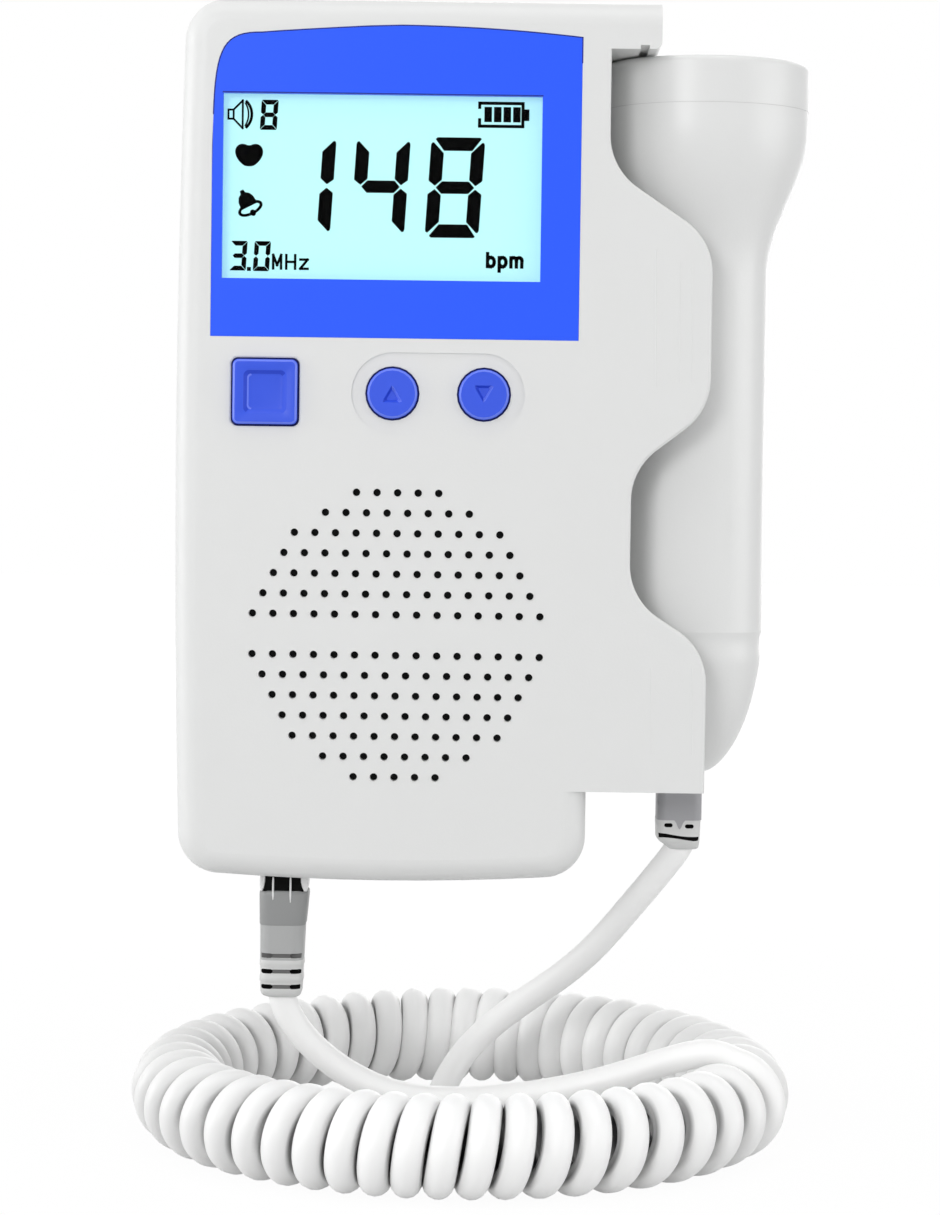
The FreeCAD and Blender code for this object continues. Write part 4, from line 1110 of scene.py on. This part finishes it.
# ---- keys
@dataclass
class Keys:
    """The square key, the two round keys with their sunk arrows, and the dark rings of painted shade round
    them. Millimetres.
    """

    row: float = 7.5
    power_x: float = -20.6
    power_half: float = 4.98
    power_hole: float = 5.5
    line: float = 0.27
    power_corner: float = 0.9
    power_face: float = -35.9
    dish_half: float = 3.4
    dish_deep: float = 0.5
    dish_slope: float = 0.65
    up_x: float = -1.0
    down_x: float = 13.1
    round_r: float = 3.88
    round_hole: float = 4.4
    round_face: float = -35.7
    arrow_r: float = 1.85
    arrow_deep: float = 0.5
    edge: float = 0.36
    bevel_in: float = 0.06
    bevel_fall: float = 0.85
    slope: float = 0.25
    rim_grow: float = 1.0
    rim_y: tuple[float, float] = (-32.85, -31.85)
    stem_r: float = 1.6
    stem_end: float = -31.0
    shade_ring_y: tuple[float, float] = (-34.85, -34.2)
    shade_ring_clearance: float = 0.04

    def standing(self, x: float, y: float, outline: list[Flat], lift: float = 0.0) -> list[Point]:
        """Stand a flat outline up round a key's middle, at a depth."""
        return [(x + a, y, self.row + lift + b) for a, b in outline]

    def triangle(self, radius: float, way: int) -> list[Flat]:
        """A three-sided outline with as many points as a soft box has, even in angle."""
        count = len(soft_square(1.0))
        made = []
        for i in range(count):
            t = 2 * math.pi * i / (count - 1) if i < count - 1 else 0.0
            off = (way * math.degrees(t) - 30 + 60) % 120 - 60
            reach = radius / 2 / max(0.53, math.cos(math.radians(off)))
            made.append((reach * math.cos(t), reach * math.sin(t)))
        return made

    def foot(self, x: float, face: float, half: float, corner: float) -> list[list[Point]]:
        """A key's bevel and side, the flange that holds it in the case, and its stem."""
        side, stem = soft_square(half, corner), soft_square(self.stem_r)
        flange = soft_square(half + self.rim_grow, corner + self.rim_grow)
        (front, back), end = self.rim_y, self.stem_end
        rows = ((face + self.edge * self.bevel_fall, soft_square(half - self.bevel_in, corner)),
                (face + self.edge, side), (front, side), (front, flange), (back, flange), (back, stem),
                (end, stem))
        return [self.standing(x, y, outline) for y, outline in rows]

    def square(self) -> Piece:
        """The square key, with a dish in its face and a broad bevel."""
        x, y, dish, low = self.power_x, self.power_face, self.dish_half, self.dish_half - self.dish_slope
        rows = ((self.dish_deep, low - 0.25, 0.5), (self.dish_deep * 0.92, low, 0.6),
                (0.05, dish - 0.12, 0.85), (0.0, dish, 0.9), (0.0, self.power_half - self.edge, 0.6))
        loops = [self.standing(x, y + deep, soft_square(half, corner)) for deep, half, corner in rows]
        loops += self.foot(x, y, self.power_half, self.power_corner)
        return smooth(stacked("square_key", loops), 30.0)

    def round(self, name: str, x: float, way: int) -> Piece:
        """A round key with an arrow sunk in its face.

        Args:
            name: the piece's name.
            x: its centre.
            way: 1 points up, -1 points down.

        Returns:
            The mesh piece.
        """
        y, lift = self.round_face, -way * self.arrow_r / 4
        loops = [self.standing(x, y + self.arrow_deep, self.triangle(self.arrow_r * 0.6, way), lift),
                 self.standing(x, y, self.triangle(self.arrow_r, way), lift),
                 self.standing(x, y, soft_square(self.round_r - self.edge)),
                 *self.foot(x, y, self.round_r, self.round_r)]
        return smooth(stacked(name, loops), 30.0)

    def paint_key_light_and_shade(self, piece: Piece, x: float, face: float, dish: float) -> Piece:
        """Give a key its blue, a painted highlight on its bevel, and painted light and shade on the walls of
        its hollow.

        Args:
            piece: the key.
            x: the key's centre.
            face: the depth of its face.
            dish: how far its hollow reaches from the centre.

        Returns:
            The same key.
        """
        coat(piece, KEY_BLUE, KEY_PAINTED_HIGHLIGHT, KEY_PAINTED_SHADE)
        blue, light, dark = range(3)
        # Painted highlight on the bevel; in the hollow, walls facing left (on the square key, the left of its
        # floor) are painted light, and walls facing right or down are painted shade.
        for side in piece.data.polygons:
            deep = side.center.y / MM
            far = max(abs(side.center.x / MM - x), abs(side.center.z / MM - self.row))
            if far > dish and face + 0.01 < deep < face + self.edge * 0.9:
                side.material_index = light
            elif far < dish and face + 0.03 < deep < face + 1.0:
                foot = deep > face + self.dish_deep * 0.9 and side.center.x / MM < x - dish / 2
                lit = foot if dish > self.arrow_r else side.normal.x < -self.slope
                shaded = not foot and (side.normal.x > self.slope or side.normal.z < -self.slope)
                side.material_index = light if lit else dark if shaded else blue
        return piece

    def shade_ring(self, name: str, x: float, inner: float, outer: float, corner: float) -> Piece:
        """A dark ring of painted shade that fills part of the gap round a key, a little below the case's
        face.
        """
        inner, (front, back) = inner + self.shade_ring_clearance, self.shade_ring_y
        rings = ((outer, front), (outer, back), (inner, back), (inner, front))
        return stacked(name, [self.standing(x, y, soft_square(r, corner)) for r, y in rings], closed=True)

    def build(self) -> None:
        """Make the keys, the rings of painted shade round them and the white collars that fill the rest of
        their gaps.
        """
        square = (self.power_face, self.dish_half, self.power_half, self.power_hole, self.power_corner + 0.2)
        circle = (self.round_face, self.arrow_r, self.round_r, self.round_hole, math.inf)
        for name, piece, x, body, node, (face, dish, half, hole, corner) in (
                ("square_key", self.square(), self.power_x, Body.POWER, "power_button", square),
                ("volume_up", self.round("volume_up_key_top", self.up_x, 1), self.up_x, Body.UP,
                 "volume_up_button", circle),
                ("volume_down", self.round("volume_down_key_top", self.down_x, -1), self.down_x, Body.DOWN,
                 "volume_down_button", circle)):
            settle(self.paint_key_light_and_shade(piece, x, face, dish), None, body, node)
            line = half + self.line
            settle(self.shade_ring(name + "_seal", x, half, line, corner), KEY_SHADE)
            settle(self.shade_ring(name + "_collar", x, line, hole, corner), CASE_WHITE)


# ---- boots
@dataclass
class Boots:
    """The plug's collar, grip and bending sleeve, and the sleeve under the probe. Millimetres."""

    front: float = -26.55
    collar_x: float = -17.45
    sleeve_x: float = -17.7
    depth: float = -23.0
    slots: tuple[float, ...] = (-81.1, -83.6, -86.05)
    slot_high: float = 0.72
    slot_reach: float = 3.22
    slot_bar: float = 1.35
    slot_deep: float = 1.1
    middle_half: float = 1.6
    middle_deep: float = 0.36
    cutter_past: float = 2.0
    sleeve_half: float = 3.3
    pale_from: float = -81.8
    probe_x: float = 45.2
    probe_y: float = -17.5
    probe_half: float = 3.6
    notch_deep: float = 0.8
    notch_high: float = 0.66

    def lying(self, name: str, x: float, y: float, rows: list[Section]) -> Piece:
        """An upright body of level sections.

        Args:
            name: the piece's name.
            x: the middle at the top.
            y: the middle's depth.
            rows: the sections, from the top.

        Returns:
            The mesh piece.
        """
        loops = [[(x + shift + a, y + b, z) for a, b in soft_box(wide, deep, corner)]
                 for z, shift, wide, deep, corner in rows]
        return smooth(stacked(name, loops), 40.0)

    def pill(self, name: str, ends: Flat | list[float], z: float, high: float, depths: Flat) -> Piece:
        """A lying bar with round ends, from one depth to another."""
        left, right = ends
        flat = soft_box((right - left) / 2, high / 2, high * 0.499, 4)
        return stacked(name, upright(flat, depths, ((left + right) / 2, z)))

    def slot_cutters(self) -> list[Piece]:
        """Cutters for the sleeve's slots: a deep one each side of a shallow bar, in front and behind. The
        walls they leave are painted black or dark grey as shade.
        """
        made = []
        for row, z in enumerate(self.slots):
            # The slot walls' black or dark grey is painted shade.
            reach, deep, ink = ((self.slot_reach, self.slot_deep, BLACK_AND_SLOT_SHADE) if row else
                                (self.slot_reach + 0.9, 0.9, BOOT_SHADE))
            for face in (-1, 1):
                wall = self.depth + face * self.sleeve_half
                past = wall + face * self.cutter_past
                name = f"slot_{row}_{'front' if face < 0 else 'back'}"
                for side in (-1, 1):
                    ends = sorted(self.sleeve_x + side * d for d in (self.slot_bar, reach))
                    bar = self.pill(f"{name}_{side}", ends, z, self.slot_high, (past, wall - face * deep))
                    made.append(coat(bar, ink))
                ends = (self.sleeve_x - self.middle_half, self.sleeve_x + self.middle_half)
                middle = self.pill(name + "_middle", ends, z, self.slot_high * 0.85,
                                   (past, wall - face * self.middle_deep))
                made.append(coat(middle, BOOT_SHADE))
        return made

    def plug(self) -> None:
        """The collar, grip, sleeve, side wings and clips under the case."""
        x, y = self.collar_x, self.depth
        collar = self.lying("plug_collar", x, y, [
            (-57.0, -0.35, 3.8, 3.3, 0.3), (-68.05, -0.35, 3.8, 3.3, 0.3), (-68.1, 0.0, 3.2, 3.2, 0.5),
            (-71.2, 0.0, 3.2, 3.2, 0.5)])
        settle(collar, BLACK_AND_SLOT_SHADE, stands_for="plug_housing")
        grip = self.lying("plug_grip_cover", x, y, [
            (-70.75, 0, 3.3, 3.0, 1.5), (-70.8, 0, 3.65, 3.35, 1.7), (-71.0, 0, 3.85, 3.5, 1.8),
            (-71.5, 0, 3.9, 3.55, 1.8), (-76.1, -0.17, 3.66, 3.43, 1.8), (-76.3, -0.18, 3.58, 3.36, 1.75),
            (-76.4, -0.18, 3.2, 3.0, 1.6)])
        settle(grip, BOOT_GREY, stands_for="plug_grip")
        sleeve = self.lying("plug_sleeve", x, y, [
            (-76.1, -0.18, 3.0, 2.9, 1.5), (-76.12, -0.18, 3.56, 3.34, 1.75),
            (-81.85, -0.27, 3.43, 3.2, 1.72), (-82.0, -0.27, 3.5, 3.27, 1.75),
            (-82.7, -0.28, 3.5, 3.27, 1.75), (-82.9, -0.28, 3.4, 3.18, 1.72),
            (-84.3, -0.3, 3.36, 3.14, 1.7), (-84.5, -0.31, 3.45, 3.22, 1.72),
            (-85.2, -0.32, 3.45, 3.22, 1.72), (-85.4, -0.32, 3.33, 3.11, 1.7),
            (-86.9, -0.35, 3.28, 3.07, 1.7), (-87.3, -0.34, 3.16, 2.97, 1.7), (-87.6, -0.3, 2.95, 2.8, 1.7),
            (-87.75, -0.26, 2.7, 2.6, 1.7), (-87.8, -0.2, 2.3, 2.3, 1.7)])
        coat(sleeve, BOOT_LIGHT, BOOT_PALE)
        for side in sleeve.data.polygons:
            side.material_index = 1 if side.center.z < self.pale_from * MM else 0
        sleeve = smooth(carved(sleeve, self.slot_cutters()), 40.0)
        settle(sleeve, None, stands_for="plug_strain_relief")
        for name, shift, wide in (("plug_wing_left", -3.3, 0.42), ("plug_wing_right", 3.25, 0.6)):
            wing = self.lying(name, x, y - 1.2, [
                (-68.1, shift, wide, 2.25, 0.35), (-69.4, shift * 1.02, wide, 2.3, 0.35),
                (-70.2, shift * 1.04, wide * 0.75, 2.3, 0.28), (-70.8, shift * 1.06, wide * 0.35, 2.2, 0.12)])
            settle(wing, CLIP_WHITE)
        for name, x0, low in (("plug_clip_left", -19.1, -72.2), ("plug_clip_right", -16.35, -72.6)):
            clip = self.lying(name, x0, self.front + 0.25, [
                (-68.6, 0, 0.10, 0.35, 0.05), (-69.2, 0, 0.15, 0.36, 0.08), (-71.4, 0, 0.15, 0.36, 0.08),
                (low, 0, 0.05, 0.28, 0.02)])
            settle(clip, CLIP_WHITE)

    def wave_cutter(self, face: int) -> Piece:
        """A thin wavy cutter right across the probe's sleeve, in front (-1) or behind (1)."""
        wall = self.probe_y + face * 3.7
        line = [(-4.2, -61.74, 0.38), (-3.3, -61.74, 0.37), (-2.2, -61.76, 0.31), (-1.0, -61.92, 0.26),
                (0.2, -62.08, 0.24), (1.3, -62.22, 0.29), (2.3, -62.28, 0.34), (3.2, -62.26, 0.32),
                (4.2, -62.2, 0.28)]
        outline = [(dx, z + h) for dx, z, h in line] + [(dx, z - h) for dx, z, h in reversed(line)]
        depths = (wall - face * self.notch_deep, wall + face * self.cutter_past)
        return stacked(f"wave_{face}", upright(outline, depths, (self.probe_x, 0.0)))

    def probe(self) -> None:
        """The light sleeve under the probe's boot, with two small slots and one wavy cut."""
        sleeve = self.lying("probe_sleeve", self.probe_x, self.probe_y, [
            (-59.25, -0.1, 3.2, 3.3, 1.3), (-59.3, -0.1, 3.52, 3.62, 1.4), (-62.3, -0.1, 3.42, 3.52, 1.4),
            (-62.8, 0.1, 3.2, 3.35, 1.4), (-63.4, 0.5, 2.75, 3.1, 1.4), (-63.9, 0.75, 2.42, 2.75, 1.5),
            (-64.05, 0.75, 2.2, 2.5, 1.5)])
        # The notches' and the wavy cut's walls are painted black as shade.
        cutters = []
        for face in (-1, 1):
            wall = self.probe_y + face * self.probe_half
            for ends, z in (((42.75, 44.1), -60.1), ((46.05, 47.45), -60.25)):
                depths = (wall - face * self.notch_deep, wall + face)
                bar = self.pill(f"notch_{face}", ends, z, self.notch_high, depths)
                cutters.append(coat(bar, BLACK_AND_SLOT_SHADE))
            cutters.append(coat(self.wave_cutter(face), BLACK_AND_SLOT_SHADE))
        sleeve = smooth(carved(coat(sleeve, BOOT_PALE), cutters), 40.0)
        settle(sleeve, None, Body.PROBE, "probe_strain_relief")
        half = [(0.95, -59.2), (0.55, -59.7), (0.25, -60.45)]
        flat = [(-0.95, -59.2), *half, (0.0, -60.75), *((-a, z) for a, z in reversed(half[1:]))]
        placed = [(self.probe_x + a, z) for a, z in flat]
        tongue = plate("probe_sleeve_tongue", [placed], self.probe_y - 3.68, 0.3)
        settle(tongue, PROBE_BOOT, Body.PROBE)

    def build(self) -> None:
        """Make both boots."""
        self.plug()
        self.probe()


# ---- case details
@dataclass
class CaseDetails:
    """Fine forms on the shells: the grille's lips and screen, raised and parting lines. Millimetres."""

    front: float = -35.0
    split: float = -17.5
    grille: Flat = (0.0, -29.75)
    pitch: Flat = (3.17, 3.14)
    rows: tuple[int, ...] = (5, 8, 11, 12, 13, 14, 15, 0, 15, 14, 13, 12, 11, 8, 5)
    hole_r: float = 0.6
    screen_r: float = 23.5
    screen_y: Flat = (-33.02, -32.97)
    seam_r: float = 0.04
    cap_seam: float = 53.2

    def holes(self) -> list[Point]:
        """The middles of the grille's holes on the case's face."""
        (x0, z0), (across, down), middle = self.grille, self.pitch, len(self.rows) // 2
        return [(x0 + (i - (count - 1) / 2) * across, self.front, z0 + (middle - row) * down)
                for row, count in enumerate(self.rows) for i in range(count)]

    def grille_parts(self) -> None:
        """A soft lip round every hole, and the black screen behind them."""
        lips = rim_tree().grow("grille_lips", mesh_of("grille_holes", self.holes(), [], []), CASE_WHITE,
                               Lip_Radius=self.hole_r + 0.05, Lip_Wire=0.07)
        settle(lips, None)
        disc = soft_square(self.screen_r, steps=12)
        screen = stacked("grille_screen", upright(disc, self.screen_y, self.grille))
        settle(screen, PAPER_BLACK)

    def beads(self) -> None:
        """Faint raised lines on the holster's flange, over its ribs, and the shells' parting lines."""
        strong = [[(39.2, -34.86, 30.2), (39.5, -34.86, 9.0)]]
        weak = [[(42.9, -34.87, 28.2), (43.2, -34.87, 9.7)],
                [(44.8, -34.87, 28.3), (45.1, -34.87, 9.7)],
                [(39.5, -34.87, -34.3), (39.75, -34.87, -47.7)],
                [(45.8, -34.87, -34.2), (46.0, -34.87, -47.6)]]
        tree, seam = bead_tree(), self.seam_r
        for name, body, lines, finish, radius in (
                ("flange_line", Body.UNIT, strong, CASE_WHITE, 0.19),
                ("flange_lines", Body.UNIT, weak, CASE_WHITE, 0.17),
                ("case_seam", Body.UNIT, [rim_line("rear_shell", 1, self.split)], SEAM_GREY, seam),
                ("probe_seam", Body.PROBE, [rim_line("probe_rear_shell", 1, self.split)], SEAM_GREY, seam),
                ("cap_seam", Body.PROBE, [rim_line("probe_cap", 2, self.cap_seam)], SEAM_FAINT, seam)):
            bead = tree.grow(name, seed_lines(name + "_path", lines), finish, Bead_Radius=radius)
            settle(bead, None, body)

    def build(self) -> None:
        """Make every detail."""
        self.grille_parts()
        self.beads()


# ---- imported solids
NODE_FINISHES: dict[Finish, tuple[str, ...]] = {
    CASE_WHITE: ("front_shell", "rear_shell", "battery_door"),
    PROBE_WHITE: ("probe_front_shell", "probe_rear_shell", "probe_cap"),
    KEY_BLUE: ("power_button", "volume_up_button", "volume_down_button"),
    LCD_CYAN: ("lcd_glass", "lcd_backlight"),
    INNER_GREY: ("lcd_frame",),
    BLACK: ("lcd_connector", "board_chips", "power_plunger", "volume_up_plunger", "volume_down_plunger",
            "switch_bodies", "speaker_frame", "lead_socket", "plug_housing", "headphone_socket"),
    BOARD_GREEN: ("main_board", "probe_board"),
    STEEL: ("case_screws", "probe_screws"),
    NICKEL: ("battery_springs", "battery_contacts"),
    GOLD: ("plug_contacts",),
    CELL_FILM: ("battery_cell_left", "battery_cell_right"),
    PAPER_BLACK: ("speaker_cone",),
    FOAM: ("speaker_gasket",),
    FERRITE: ("speaker_magnet",),
    CERAMIC: ("probe_crystals",),
    EPOXY: ("crystal_backing",),
    BOOT_GREY: ("plug_grip",),
    PROBE_BOOT: ("probe_boot",),
    BOOT_LIGHT: ("plug_strain_relief", "probe_strain_relief"),
    LEAD_WHITE: ("lead_from_unit", "lead_to_probe", "lead_curls"),
    LENS_CLEAR: ("display_lens",),
    PRINT_BLUE_PAINTED_GLOW: ("lens_print",),
}


def dress_nodes() -> None:
    """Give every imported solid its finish."""
    for finish, names in NODE_FINISHES.items():
        for name in names:
            coat(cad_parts[name], finish)


# ---- studio


@dataclass
class Studio:
    """The camera, the pale floor and the lamps.

    The camera and the floor are placed in millimetres, the lamps and the floor's fading in metres, and the
    camera's frame is in pixels.
    """

    camera_at: Point = (13.23, -500.0, -7.56)
    yaw: float = -0.226
    pitch: float = 2.184
    roll: float = 0.779
    focal_px: float = 3015.8
    frame_long_px: float = 1215.0
    floor_z: float = -110.45
    sensor: float = 36.0
    surround: float = 0.49
    floor_half: float = 3000.0
    floor_grey: float = 0.70
    floor_shows: Flat = (1.020, 1.066)
    floor_fades: Flat = (0.15, 0.9)
    floor_glow: float = 0.94
    aim: Point = (0.01, -0.02, -0.02)
    lamps: tuple[tuple[str, Point, float, float], ...] = (
        ("key", (-0.48, -1.18, 0.36), 0.40, 4.4),
        ("left_wall", (-1.2, -0.12, 0.1), 0.8, 6.8),
        ("right_wall", (1.2, -0.45, 0.0), 0.9, 6.3),
        ("ceiling", (0.0, -0.35, 1.3), 1.0, 5.0),
        ("behind", (0.35, 1.30, 0.40), 1.0, 4.5),
        ("low_front", (0.35, -1.20, -0.45), 0.9, 3.0),
    )

    def camera(self) -> None:
        """Place the camera."""
        yaw, pitch, roll = (math.radians(a) for a in (self.yaw, self.pitch, self.roll))
        ahead = Vector((math.sin(yaw) * math.cos(pitch), math.cos(yaw) * math.cos(pitch), -math.sin(pitch)))
        level = ahead.cross(Vector((0, 0, 1))).normalized()
        over = level.cross(ahead)
        right = level * math.cos(roll) + over * math.sin(roll)
        up = over * math.cos(roll) - level * math.sin(roll)
        data = bpy.data.cameras.new("camera")
        data.sensor_width = self.sensor
        data.lens = self.focal_px / self.frame_long_px * self.sensor
        data.clip_start, data.clip_end = 0.01, 20.0
        made = link("camera", data)
        turn = Matrix((right, up, -ahead)).transposed().to_4x4()
        made.matrix_world = Matrix.Translation(Vector(self.camera_at) * MM) @ turn
        bpy.context.scene.camera = made

    def floor(self) -> None:
        """A wide pale floor that shows near white and keeps a faint shadow."""
        half = self.floor_half
        corners = [(a, b, self.floor_z) for a, b in box_loop(-half, -half, half, half)]
        made = link("floor", mesh_of("floor", corners, [], [(0, 1, 2, 3)]))
        nodes = Nodes("floor_white")
        nodes.plain(Base_Color=(self.floor_grey,) * 3, Roughness=0.9, Specular_IOR_Level=0.1)
        reach = nodes.add("ShaderNodeVectorMath", operation="LENGTH", Vector=nodes.place())
        (start, end), (near, far) = self.floor_fades, self.floor_shows
        level = nodes.add("ShaderNodeMapRange", Value=reach.outputs["Value"], From_Min=start, From_Max=end,
                          To_Min=near, To_Max=far)
        glow = nodes.add("ShaderNodeEmission", Color=(1.0, 1.0, 1.0), Strength=level.outputs["Result"])
        share = nodes.add("ShaderNodeMath", operation="MULTIPLY", Value=nodes.seen_directly())
        nodes.set(share.inputs[1], self.floor_glow)
        mix = nodes.add("ShaderNodeMixShader")
        for place, source in zip(mix.inputs, (share, nodes.shader, glow)):
            nodes.set(place, source.outputs[0])
        nodes.set(nodes.tree.nodes["Material Output"].inputs["Surface"], mix.outputs[0])
        made.data.materials.append(nodes.material)

    def world(self) -> None:
        """An even pale surround that shows white to the camera and in gloss."""
        world = bpy.data.worlds.new("surround")
        bpy.context.scene.world = world
        world.use_nodes = True
        tree = Tree(world.node_tree)
        back = tree.tree.nodes["Background"]
        level = tree.add("ShaderNodeMapRange", Value=tree.seen_directly(), To_Min=self.surround, To_Max=1.0)
        tree.set(back.inputs["Strength"], level.outputs["Result"])
        tree.set(back.inputs["Color"], (1.0, 1.0, 1.0))

    def build(self) -> None:
        """Set up the camera, the floor, the surround and the square area lamps (name, place, side, watts)."""
        bpy.context.scene.view_settings.view_transform = "Standard"
        self.camera()
        self.floor()
        self.world()
        for name, at, size, power in self.lamps:
            data = bpy.data.lights.new(name, "AREA")
            data.size, data.energy = size, power
            made = link(name, data)
            made.location = at
            made.rotation_euler = (Vector(self.aim) - Vector(at)).to_track_quat("-Z", "Y").to_euler()


def main() -> None:
    """Build the studio and every piece, in order."""
    logging.basicConfig(level=logging.INFO, format="%(name)s: %(message)s")
    Studio().build()
    dress_nodes()
    for part in (Boots(), CurlyLead(), Display(), Keys(), CaseDetails()):
        part.build()


if __name__ == "__main__":
    main()
